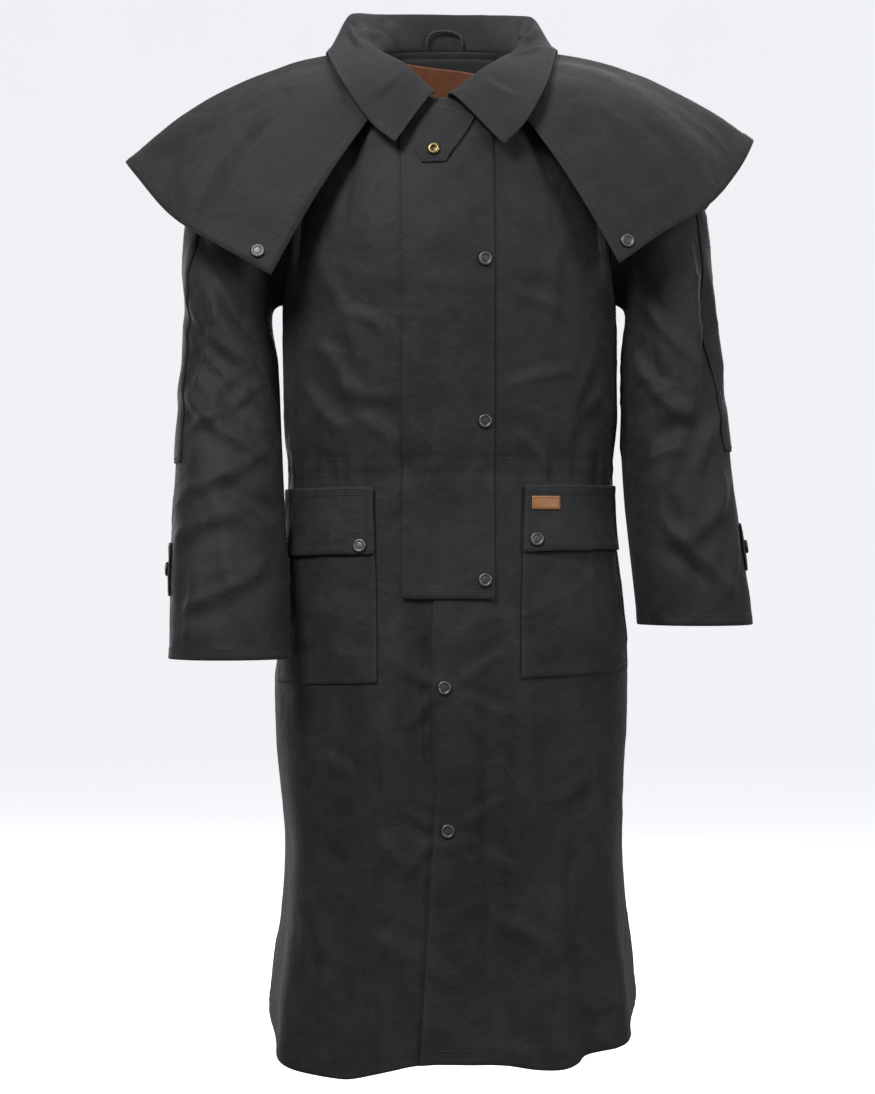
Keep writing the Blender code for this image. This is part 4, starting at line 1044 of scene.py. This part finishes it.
for side, sign in (("left", -1), ("right", 1)):
    armpit = ROW["armpit"]
    edge_columns = {"left": (0, -1), "right": (-1, 0)}[side]
    armhole = np.concatenate([front[armpit:, edge_columns[0]], back[armpit + 1 : -1, edge_columns[1]][::-1]])
    armhole = armhole + [sign * SEAM_GAP, 0, 0]
    rings = SLEEVES[side]
    count = len(armhole)
    turns = np.arange(count) * 2 * math.pi / count
    ways = np.linspace(1, 0, round(1 / SLEEVE_WAY_STEP) + 1)[:, None]
    tube = sleeve_ring(rings, ways, turns[None, :])
    ring = tube[-1]
    coarse_before = sleeve_ring(rings, np.array([[SLEEVE_FALL_WAY]]), turns[None, :])[0]
    span = np.linalg.norm(ring - armhole, axis=1)[:, None] * SLEEVE_HEAD_REACH
    fall = unit(coarse_before - ring)
    leave = unit(np.array([sign, 0.0, SLEEVE_HEAD_FALL])) * span
    t = (1 - np.arange(1, SLEEVE_HEAD_ROWS + 1) / SLEEVE_HEAD_ROWS)[:, None, None]
    head = hermite(t, armhole, ring, leave, fall * span)
    grid = np.concatenate([tube, head])
    if sign < 0:
        grid = np.roll(grid[:, ::-1], 1, axis=1)
        turns = np.roll(turns[::-1], 1)
    degrees = np.degrees(turns)
    round_way = degrees * SLEEVE_MAP
    places = np.stack(np.broadcast_arrays(round_way, grid[..., 2]), axis=-1)
    creases = np.array(SLEEVE_CREASES[side]) * [DEGREE, MM, DEGREE, MM, MM, MM, MM]
    hang = np.stack(np.broadcast_arrays(degrees * DEGREE, grid[..., 2]), axis=-1)
    calm = smooth(np.minimum(degrees, 360 - degrees) * DEGREE / 0.022)[None, :]
    up = run(grid, 0)
    top_away = up[-1:] - up
    round_way = round_way + 0 * up
    seed = SLEEVE_SEEDS[side]
    own = rumpled(places, seed, 1.45) + 1.1 * creased(hang, creases)
    own *= (0.15 + 0.85 * calm) * smooth(top_away / 0.05)
    own += puckered(round_way, top_away - 0.008, 0.0010, 0.014, seed + 9) * smooth(top_away / 0.004)
    own += edged(up, CUFF_HEM, 0.0006) + puckered(round_way, up - CUFF_HEM, 0.0006, 0.010, seed + 10)
    grid = grid + outward(grid, closed=True) * own[..., None]
    out = outward(grid, closed=True)
    sleeve = cotton_piece("sleeve_" + side, grid, closed=True)
    patch_rows = slice(round(PATCH_LOW / SLEEVE_WAY_STEP), len(ways) + PATCH_HEAD_ROWS)
    patch_columns = within(degrees, PATCH_TURNS)
    patch_plain, patch_out = grid[patch_rows][:, patch_columns], out[patch_rows][:, patch_columns]
    patch_edge = np.minimum(from_ends(patch_plain, 0), from_ends(patch_plain, 1))
    patch_run = run(patch_plain, 0) + run(patch_plain, 1)
    patch_own = 0.0001 + 0.0008 * smooth(patch_edge / 0.02)
    patch_own = patch_own + np.abs(puckered(patch_run, patch_edge - 0.005, 0.0005, 0.006, seed + 11))
    patch_grid = patch_plain + patch_out * (LAYER + patch_own)[..., None]
    patch = cotton_piece("elbow_patch_" + side, patch_grid)
    tab_low, tab_high = (round(way / SLEEVE_WAY_STEP) for way in CUFF_TAB_WAYS)
    tab_rows, tab_columns = slice(tab_low, tab_high + 1), within(degrees, CUFF_TAB_TURNS)
    tab_plain, tab_out = grid[tab_rows][:, tab_columns], out[tab_rows][:, tab_columns]
    tab_own = 0.0005 + 0.0006 * smooth(from_ends(tab_plain, 0) / 0.008)
    tab_grid = tab_plain + tab_out * (LAYER + tab_own)[..., None]
    tab = cotton_piece("cuff_tab_" + side, tab_grid)
    cuff_tabs[side] = tab_grid, degrees[tab_columns]
    joined = [np.concatenate([values, values[:, :1]], axis=1) for values in (grid, out)]
    sleeve_stitches = [inset_line(*joined, "low", CUFF_HEM), inset_line(*joined, "high", 0.0080)]
    sleeve_stitches += rows_of_stitches(patch_grid, "low high first last", 0.0050)
    sleeve_stitches += rows_of_stitches(tab_grid, "low high first last", 0.0045)
    sew("stitches_sleeve_" + side, sleeve_stitches)

# The collar: one doubled piece of softer, greyer cotton, sewn to the neck edge. It stands up round the neck,
# rolls over and falls to two points in front, where it lies open.
COLLAR = table(
    "way roll_x roll_y roll_z edge_x edge_y edge_z",
    [
        (-1.00, -0.0165, -0.1180, -0.0780, -0.0650, -0.1390, -0.1430),
        (-0.82, -0.0520, -0.0860, -0.0370, -0.0940, -0.1210, -0.1160),
        (-0.62, -0.0890, -0.0400, -0.0050, -0.1320, -0.0990, -0.0580),
        (-0.46, -0.1160, 0.0040, 0.0250, -0.1530, -0.0300, -0.0090),
        (-0.28, -0.1270, 0.0480, 0.0610, -0.1520, 0.0660, 0.0020),
        (-0.14, -0.0900, 0.0790, 0.0695, -0.1080, 0.1250, -0.0140),
        (0.00, 0.0000, 0.0920, 0.0720, 0.0000, 0.1430, -0.0180),
        (0.14, 0.0830, 0.0790, 0.0680, 0.1020, 0.1250, -0.0140),
        (0.28, 0.1140, 0.0490, 0.0570, 0.1410, 0.0640, 0.0035),
        (0.46, 0.1030, 0.0040, 0.0160, 0.1400, -0.0280, -0.0055),
        (0.62, 0.0760, -0.0400, -0.0120, 0.1260, -0.1000, -0.0570),
        (0.82, 0.0430, -0.0880, -0.0430, 0.0980, -0.1330, -0.1150),
        (1.00, 0.0040, -0.1180, -0.0790, 0.0700, -0.1390, -0.1460),
    ],
)
COLLAR_COLUMNS = 260
COLLAR_STAND_STEPS = 14
COLLAR_FALL_STEPS = 24
COLLAR_ROLL = 0.016
COLLAR_ROLL_REACH = 1.6
COLLAR_FALL_GROWTH = 1.25
COLLAR_SEAM_RISE = 0.0012
NECK_MIDDLE = (0.0, -0.010, 0.0)
# Where the collar creases, in mm: its way round and the distance up from the seam, for both ends
COLLAR_CREASES = [
    (-205, 18, -130, 50, 4, 6, 6.8),
    (-220, 40, -155, 60, -3, 5, 5),
    (-180, 30, -120, 30, 3, 5, 4.8),
    (-110, 14, -60, 52, 3, 6, 4.2),
    (215, 16, 140, 52, -4, 6, 6.8),
    (190, 36, 130, 28, 3, 5, 4.8),
    (160, 18, 110, 50, 3, 5, 4.8),
    (250, 40, 190, 64, 3, 5, 4.2),
    (-330, 50, -300, 100, 4, 8, 2.4),
    (340, 50, 310, 104, -4, 8, 2.4),
    (-20, 90, 60, 110, 5, 9, 2),
]

neck_left = front[-1, COLUMN["left_neck"] : COLUMN["front_edge"] + 1][::-1]
neck_right = front[-1, COLUMN["centre"] : COLUMN["right_neck"] + 1][::-1]
neck_back = back[-1, BACK_COLUMN[144] : BACK_COLUMN[216] + 1][::-1]
neck_seam = np.concatenate([neck_left, neck_back[1:-1], neck_right])
seam_way = run(neck_seam[None], 1)[0]
way = np.linspace(-1, 1, COLLAR_COLUMNS)
neck_seam = along_line(way, seam_way / seam_way[-1] * 2 - 1, neck_seam)
roll = np.stack(curves(COLLAR, way, "roll_x roll_y roll_z"), axis=1)
outer = np.stack(curves(COLLAR, way, "edge_x edge_y edge_z"), axis=1)
inwards = unit((np.array(NECK_MIDDLE) - neck_seam) * [1, 1, 0])
neck_seam = neck_seam + inwards * LAYER + [0, 0, COLLAR_SEAM_RISE]
over = unit((outer - roll) * [1, 1, 0.15]) * COLLAR_ROLL
rise = np.linalg.norm(roll - neck_seam, axis=1)[:, None] * np.array([0, 0, 1.0])
t = (np.arange(COLLAR_STAND_STEPS) / COLLAR_STAND_STEPS)[:, None, None]
stand = hermite(t, neck_seam, roll, rise, over)
t = (np.arange(COLLAR_FALL_STEPS + 1) / COLLAR_FALL_STEPS)[:, None, None] ** COLLAR_FALL_GROWTH
leaf = hermite(t, roll, outer, over * COLLAR_ROLL_REACH, outer - roll)
collar_grid = np.concatenate([stand, leaf])
collar_up, collar_across = run(collar_grid, 0), run(collar_grid, 1)
collar_places = np.stack(np.broadcast_arrays((way * 0.40)[None, :], collar_up), axis=-1)
collar_edge = np.minimum(collar_up[-1:] - collar_up, from_ends(collar_grid, 1))
collar_own = 0.38 * rumpled(collar_places, 800) + creased(collar_places, np.array(COLLAR_CREASES) * MM)
collar_own = collar_own * smooth(collar_up / 0.012)
collar_own += edged(collar_edge, 0.0075, 0.0006)
collar_own += puckered(collar_across + collar_up, collar_edge - 0.0075, 0.0005, 0.006, 803)
collar_grid = collar_grid + outward(collar_grid) * collar_own[..., None]
collar = shell("coat_collar", collar_grid, CLOTH)
greyer = waxed_cotton("collar_cotton", (0.0125, 0.0125, 0.0145), (0.0255, 0.0255, 0.0290), 0.82)
put_on(collar, greyer, "collar_cotton", "collar")
sew("stitches_collar", rows_of_stitches(collar_grid, "first last high", 0.0075))

# The shoulder cape: one wide piece from the neck seam over both shoulders and round the back, open in front,
# with two rows of stitches along its edges and a snap at each front corner.
CAPE = table(
    "turn hem_x hem_y hem_z early_out early_down late_out late_down",
    [
        (37, 0.2110, -0.1480, -0.2940, 0.33, 0.22, 0.70, 0.62),
        (45, 0.2640, -0.1300, -0.2560, 0.36, 0.08, 0.76, 0.52),
        (58, 0.3140, -0.1060, -0.2250, 0.40, -0.06, 0.82, 0.50),
        (72, 0.3540, -0.0640, -0.1860, 0.44, -0.10, 0.84, 0.52),
        (83, 0.3830, -0.0200, -0.1460, 0.45, -0.04, 0.82, 0.56),
        (92, 0.4030, 0.0250, -0.1090, 0.45, -0.02, 0.80, 0.58),
        (104, 0.3850, 0.0830, -0.1340, 0.46, 0.02, 0.86, 0.56),
        (122, 0.3270, 0.1370, -0.2130, 0.48, 0.14, 0.92, 0.58),
        (148, 0.1800, 0.1720, -0.3190, 0.50, 0.16, 0.96, 0.58),
        (180, 0.0000, 0.1820, -0.3550, 0.50, 0.16, 0.96, 0.58),
        (212, -0.1800, 0.1720, -0.3220, 0.50, 0.16, 0.96, 0.58),
        (238, -0.3370, 0.1370, -0.2240, 0.48, 0.14, 0.92, 0.58),
        (256, -0.4010, 0.0830, -0.1500, 0.46, 0.02, 0.86, 0.56),
        (268, -0.4220, 0.0200, -0.1370, 0.45, -0.02, 0.80, 0.58),
        (278, -0.3980, -0.0240, -0.1680, 0.45, -0.04, 0.82, 0.56),
        (290, -0.3620, -0.0660, -0.2120, 0.44, -0.10, 0.84, 0.52),
        (303, -0.3260, -0.1040, -0.2430, 0.40, -0.06, 0.82, 0.50),
        (316, -0.2780, -0.1300, -0.2730, 0.36, 0.08, 0.76, 0.52),
        (323, -0.2170, -0.1480, -0.3090, 0.33, 0.22, 0.70, 0.62),
    ],
)
CAPE_COLUMNS = 430
CAPE_STEPS = 56
CAPE_NECK_OUT = 0.0045
CAPE_NECK_UP = 0.0054
CAPE_EARLY_DEPTH = 1.6
CAPE_LATE_DEPTH = 1.12
CAPE_DEGREE = 0.0055
CAPE_BAND = 0.0155
# Where the cape creases: turn and the distance up from the hem of both ends, in degrees and mm
CAPE_CREASES = [
    (303, 20, 300, 150, 6, 18, -3.6),
    (290, 10, 296, 110, -6, 15, 1.6),
    (312, 50, 306, 190, 6, 14, 2.2),
    (278, 20, 286, 120, 5, 16, -1.8),
    (58, 20, 62, 150, -6, 18, -2.2),
    (68, 10, 66, 120, 6, 15, 1.4),
    (49, 50, 55, 190, -6, 14, 1.8),
    (80, 20, 76, 120, 5, 16, -1.4),
    (110, 20, 116, 180, 10, 16, 4),
    (128, 10, 132, 220, -10, 16, -4.4),
    (146, 20, 150, 260, 8, 17, 4.6),
    (163, 10, 166, 220, 6, 15, -4),
    (178, 30, 182, 280, -6, 18, 4.6),
    (197, 10, 194, 240, 8, 16, -4.4),
    (214, 20, 210, 260, -8, 17, 4.4),
    (232, 10, 228, 200, 8, 16, -4.2),
    (249, 20, 244, 170, -6, 15, 4),
]


turn = np.linspace(CAPE["turn"][0], CAPE["turn"][-1], CAPE_COLUMNS)
cape_hem = np.stack(curves(CAPE, turn, "hem_x hem_y hem_z"), axis=1)
around = np.radians(turn)
away = np.stack([np.sin(around), -np.cos(around), 0 * around], axis=1)
cape_neck = around_neck(around, np.cos(around) > 0) + away * CAPE_NECK_OUT + [0, 0, CAPE_NECK_UP]
cape_span = cape_hem - cape_neck
early_out, early_down, late_out, late_down = curves(CAPE, turn, "early_out early_down late_out late_down")
cape_first = cape_neck + cape_span * np.stack([early_out, early_out * CAPE_EARLY_DEPTH, early_down], axis=1)
cape_second = cape_neck + cape_span * np.stack([late_out, late_out * CAPE_LATE_DEPTH, late_down], axis=1)
cape_share = 1 - np.arange(CAPE_STEPS + 1)[:, None] / CAPE_STEPS + 0 * turn
cape_grid = bezier(cape_share, cape_neck, cape_first, cape_second, cape_hem)
cape_up, cape_across = run(cape_grid, 0), run(cape_grid, 1)
cape_places = np.stack(np.broadcast_arrays(turn * CAPE_DEGREE, cape_up), axis=-1)
cape_lines = np.array(CAPE_CREASES) * [CAPE_DEGREE, MM, CAPE_DEGREE, MM, MM, MM, MM]
cape_front = from_ends(cape_grid, 1)
cape_edge = np.minimum(cape_up, cape_front)
neck_calm = smooth((cape_up[-1:] - cape_up) / 0.05)
cape_own = (rumpled(cape_places, 900, 0.75) + creased(cape_places, cape_lines)) * neck_calm
cape_own *= smooth(cape_front / 0.02 + 0.2)
hem_wave = smooth((0.09 - cape_up) / 0.09) * smooth(cape_front / 0.05)
cape_own += 0.0030 * uneven(cape_places, 0.16, 905) * hem_wave
cape_own += edged(cape_edge, CAPE_BAND, 0.0010) * neck_calm
cape_own += puckered(cape_across + cape_up, cape_edge - 0.0105, 0.0007, 0.008, 906) * neck_calm
cape_grid = cape_grid + outward(cape_grid) * cape_own[..., None]
cape = cotton_piece("cape", cape_grid)
cape_out = outward(cape_grid)
sew("stitches_cape", rows_of_stitches(cape_grid, "low first last", 0.0052, CAPE_BAND))

# The throat tab under the collar: a short doubled strap that laps the storm flap, its end cut square with
# the corners taken off, with a ring snap. Its two ends run from the viewer's left to the right.
THROAT_TAB = table(
    "end_x end_share top_x top_share",
    [
        (-0.0360, 0.698, -0.0070, 0.950),
        (-0.0305, 0.665, -0.0010, 0.946),
        (-0.0255, 0.631, 0.0050, 0.936),
        (-0.0115, 0.639, 0.0115, 0.922),
        (0.0010, 0.643, 0.0190, 0.904),
        (0.0035, 0.669, 0.0255, 0.886),
        (0.0060, 0.690, 0.0315, 0.868),
    ],
)
THROAT_TAB_LIFT = 2 * LAYER + CLOTH + 0.0009
THROAT_TAB_STEPS = (28, 8)
RING_SHARES = (0.214, 0.433)


def on_front(x, share, out):
    """Places over the chest, at x where the armpits are and a share of the way up, moved out of the cloth."""
    low = np.full_like(x, ARMPIT)
    grid = chest(across_to_turn(x, low), share)
    across = chest(across_to_turn(x + 0.002, low), share) - grid
    up = chest(across_to_turn(x, low), share + 0.002) - grid
    return grid + unit(np.cross(across, up)) * out


throat_counts = [THROAT_TAB_STEPS[1]] * (len(THROAT_TAB["end_x"]) - 1)
throat_ends = finer(np.array(list(THROAT_TAB.values())), throat_counts)
throat_up = np.linspace(0, 1, THROAT_TAB_STEPS[0] + 1)[:, None]
throat_x, throat_share = throat_ends[:2, None] * (1 - throat_up) + throat_ends[2:, None] * throat_up
throat_grid = on_front(throat_x, throat_share, THROAT_TAB_LIFT)
throat_flat = np.stack([run(throat_grid, 1), run(throat_grid, 0)], axis=-1)
throat_edge = np.minimum(from_ends(throat_grid, 0), from_ends(throat_grid, 1))
throat_own = 0.0006 * smooth(throat_edge / 0.010) + 0.0006 * uneven(throat_flat, 0.020, 950)
throat_grid = throat_grid + outward(throat_grid) * (0.0006 + throat_own)[..., None]
throat_tab = shell("coat_throat_tab", throat_grid, CLOTH)
put_on(throat_tab, greyer, "collar_cotton", "throat_tab")
throat_out = outward(throat_grid)
ring_row, ring_column = (round(share * (count - 1)) for share, count in zip(RING_SHARES, throat_grid.shape))
throat_ring_at = throat_grid[ring_row, ring_column, [0, 2]]
sew("stitches_throat_tab", rows_of_stitches(throat_grid, "first low high", 0.005))

# Inside the neck: the plain black cotton lining, sewn in below the collar's seam, and the bare label of
# red-brown leather sewn on it. Only the upper part of the lining, which shows, is made.
LINING_LIFT = LAYER + 0.0007
LABEL_WALL = 0.0012
lining_rows = slice(ROW["armpit"] + CHEST_STEPS // 2, -2)
lining_columns = slice(BACK_COLUMN[144] + 1, BACK_COLUMN[216])
lining_grid = (back - back_out * LINING_LIFT)[lining_rows, lining_columns]
neck_lining = shell("coat_neck_lining", lining_grid, LABEL_WALL)
lining = Finish("lining_cotton")
lining_weave = lining.noise(lining.places(), 1200.0, 2.0)
lining_clouds = lining.noise(lining.places(), 30.0)
lining.feed(Base_Color=lining.mix(lining_clouds, (0.008, 0.008, 0.008), (0.016, 0.016, 0.017)))
lining.feed(Roughness=0.75 + 0.15 * lining_weave)
lining.bump(lining_weave, 0.4, 0.0003)
put_on(neck_lining, lining, "lining", "neck_lining")


def leather(name, deep, pale):
    """Smooth leather: uneven colour and fine pores."""
    finish = Finish(name)
    where = finish.places()
    clouds = finish.noise(where, 90.0, 4.0, 0.6)
    pores = finish.node("ShaderNodeTexVoronoi", {}, {"Vector": where, "Scale": 1600.0})
    finish.feed(Base_Color=finish.mix(clouds, deep, pale))
    finish.feed(Roughness=0.42 + 0.25 * clouds)
    finish.bump(pores + clouds * 0.6, 0.35, 0.0003)
    return finish


# The label's lower and upper corners, as a turn round the back and a share of the way up from the armpits
LABEL_LOW = ((174.5, 0.761), (192.8, 0.802))
LABEL_HIGH = ((173.2, 0.911), (190.9, 0.953))
LABEL_LIFT = LINING_LIFT + LABEL_WALL + 2 * GAP


def sampled(grid, columns, rows):
    """The places of a grid at fractional columns and rows, blended between its points."""
    at_column, at_row = columns.astype(int), rows.astype(int)
    s, t = (columns - at_column)[..., None], (rows - at_row)[..., None]
    low = grid[at_row, at_column] * (1 - s) + grid[at_row, at_column + 1] * s
    high = grid[at_row + 1, at_column] * (1 - s) + grid[at_row + 1, at_column + 1] * s
    return low * (1 - t) + high * t


label_up = np.linspace(0, 1, 26)[:, None]
label_low, label_high = (np.linspace(*corners, 44).T[:, None] for corners in (LABEL_LOW, LABEL_HIGH))
label_turn, label_share = label_low * (1 - label_up) + label_high * label_up
label_columns = np.interp(label_turn, list(BACK_COLUMN), list(BACK_COLUMN.values()))
label_grid = sampled(back - back_out * LABEL_LIFT, label_columns, ROW["armpit"] + label_share * CHEST_STEPS)
neck_label = shell("coat_neck_label", label_grid, LABEL_WALL)
red_leather = leather("label_leather", (0.105, 0.035, 0.013), (0.195, 0.064, 0.024))
put_on(neck_label, red_leather, "label_leather", "neck_label")


# Snaps: pressed metal caps, aged dark, each a plain shallow dish inside a rounded rim that wear has rubbed
# brighter. The throat tab carries a brass ring round its socket instead.
SNAP_RADIUS = 0.0090
SNAP_HEIGHT = 0.0030
SEAT_LIFT = 0.0004
RING_RADIUS = 0.0080
SNAP_SIDES = 40
SNAP_PROFILE = [
    (0.00, 0.86),
    (0.22, 0.85),
    (0.42, 0.81),
    (0.52, 0.74),
    (0.58, 0.76),
    (0.64, 0.90),
    (0.72, 1.00),
    (0.82, 0.97),
    (0.92, 0.80),
    (0.98, 0.50),
    (1.00, 0.25),
    (0.97, 0.00),
    (0.90, -0.12),
    (0.00, -0.12),
]
RING_PROFILE = [
    (0.00, 0.18),
    (0.36, 0.18),
    (0.42, 0.26),
    (0.47, 0.80),
    (0.54, 1.00),
    (0.66, 1.02),
    (0.80, 0.92),
    (0.93, 0.62),
    (1.00, 0.25),
    (0.98, 0.00),
    (0.00, -0.10),
]


def on_cloth(grid, normals, x, z, out=0.0):
    """The places of a grid's cloth at x and z, moved out: from the nearest point along its tangent plane."""
    points, directions = grid.reshape(-1, 3), normals.reshape(-1, 3)
    x, z = np.broadcast_arrays(np.asarray(x, float), np.asarray(z, float))
    near = np.argmin((points[:, 0] - x[..., None]) ** 2 + (points[:, 2] - z[..., None]) ** 2, axis=-1)
    point, normal = points[near], directions[near]
    slope = (x - point[..., 0]) * normal[..., 0] + (z - point[..., 2]) * normal[..., 2]
    y = point[..., 1] - slope / normal[..., 1]
    return np.stack([x, y, z], axis=-1) + normal * out, normal


def turned(name, profile, radius, place, normal):
    """A turned piece seated on the cloth: the profile carried round the normal, its poles closed."""
    place = place + normal * SEAT_LIFT
    shape = np.array(profile) * [radius, SNAP_HEIGHT]
    angle = np.arange(SNAP_SIDES) * 2 * math.pi / SNAP_SIDES
    axis = unit(normal)
    first = unit(np.cross(axis, [0.3, 0.2, 1.0]))
    second = np.cross(axis, first)
    around = np.cos(angle)[:, None] * first + np.sin(angle)[:, None] * second
    ring = place + shape[1:-1, None, :1] * around[None] + shape[1:-1, None, 1:] * axis
    poles = place + shape[[0, -1], 1:] * axis
    points = np.concatenate([ring.reshape(-1, 3), poles])
    faces, pairs = turned_faces(len(shape) - 2, SNAP_SIDES)
    top, bottom, last_ring = len(points) - 2, len(points) - 1, (len(shape) - 3) * SNAP_SIDES
    faces += [(top, a, b) for a, b in pairs] + [(bottom, last_ring + b, last_ring + a) for a, b in pairs]
    made = smooth_object(name, points, faces)
    worn = np.concatenate([np.repeat(shape[1:-1, 1], SNAP_SIDES), shape[[0, -1], 1]]) / SNAP_HEIGHT
    made.data.attributes.new("rub", "FLOAT", "POINT").data.foreach_set("value", worn)
    return made


def aged_metal(name, dark, bright, rough):
    """Aged metal: a dark patina that clears to brighter metal on the raised rim."""
    finish = Finish(name)
    rub = finish.stored("rub")
    spots = finish.noise(finish.places(), 900.0, 4.0, 0.65)
    share = ((rub - 0.72) * 2.4 + (spots - 0.5) * 2.2).clamped()
    finish.feed(Base_Color=finish.mix(share, dark, bright))
    finish.feed(Roughness=rough + 0.25 * spots)
    finish.keep(Metallic=1.0)
    finish.bump(spots, 0.25, 0.0002)
    return finish


snap_metal = aged_metal("snap_metal", (0.055, 0.053, 0.057), (0.165, 0.158, 0.163), 0.32)
brass = aged_metal("brass", (0.085, 0.062, 0.030), (0.40, 0.30, 0.145), 0.26)
CAPE_SNAP_ROW = 3
CAPE_SNAP_COLUMN = 4
CUFF_SNAP_TURN = 177
flap_normals = {side: outward(grid) for side, grid in flap_grids.items()}
seats = {
    "snap_storm_flap_1": on_cloth(storm_grid, storm_out, 0.046, -0.290),
    "snap_storm_flap_2": on_cloth(storm_grid, storm_out, 0.046, -0.489),
    "snap_storm_flap_3": on_cloth(storm_grid, storm_out, 0.046, -0.684),
    "snap_front_1": on_cloth(right_grid, right_out, -0.004, -0.815),
    "snap_front_2": on_cloth(right_grid, right_out, 0.000, -0.988),
    "snap_pocket_flap_left": on_cloth(flap_grids["left"], flap_normals["left"], -0.108, -0.642),
    "snap_pocket_flap_right": on_cloth(flap_grids["right"], flap_normals["right"], 0.110, -0.634),
}
for side, column in (("right", CAPE_SNAP_COLUMN), ("left", -1 - CAPE_SNAP_COLUMN)):
    seats["snap_cape_" + side] = cape_grid[CAPE_SNAP_ROW, column], cape_out[CAPE_SNAP_ROW, column]
for side, (tab_grid, tab_degrees) in cuff_tabs.items():
    at = len(tab_grid) // 2, int(np.argmin(np.abs(tab_degrees - CUFF_SNAP_TURN)))
    seats["snap_cuff_" + side] = tab_grid[at], outward(tab_grid)[at]
for name, (place, normal) in seats.items():
    snap = turned("coat_" + name, SNAP_PROFILE, SNAP_RADIUS, place, normal)
    put_on(snap, snap_metal, "snap_metal", name)
ring_seat = on_cloth(throat_grid, throat_out, *throat_ring_at)
ring = turned("coat_ring_throat_tab", RING_PROFILE, RING_RADIUS, *ring_seat)
put_on(ring, brass, "brass", "ring_throat_tab")

# The tag: a small bare piece of tan leather on the upper corner of the right pocket's flap, sewn to it
# all round with small stitches.
TAG_X = (0.1040, 0.1385)
TAG_Z = (-0.5965, -0.5810)
tag_x = np.linspace(*TAG_X, 15)[None, :]
tag_z = np.linspace(*TAG_Z, 8)[:, None]
tag_grid = on_cloth(flap_grids["right"], flap_normals["right"], tag_x, tag_z, LABEL_WALL + SEAT_LIFT)[0]
tag = shell("coat_pocket_label", tag_grid, LABEL_WALL)
tan_leather = leather("tag_leather", (0.21, 0.085, 0.028), (0.38, 0.165, 0.055))
put_on(tag, tan_leather, "tag_leather", "pocket_label")
tag_stitches = rows_of_stitches(tag_grid, "low high first last", 0.0018)
sew("stitches_pocket_label", tag_stitches, pitch=0.0024, length=0.0017, radius=0.00030)

# The hanger loop: a short black cord of twisted strands, its two ends caught in the seam inside the
# collar. It keeps its solid, which gets this material.
cord = Finish("loop_cord")
twist = {"Vector": cord.places(), "Scale": 260.0}
strands = cord.node("ShaderNodeTexWave", {"bands_direction": "DIAGONAL"}, twist)
cord.feed(Base_Color=cord.mix(strands, (0.010, 0.010, 0.011), (0.030, 0.030, 0.032)))
cord.feed(Roughness=0.65 + 0.2 * strands)
cord.bump(strands, 0.6, 0.0006)
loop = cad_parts["hanger_loop"]
loop.data.materials.clear()
loop.data.materials.append(cord.material)
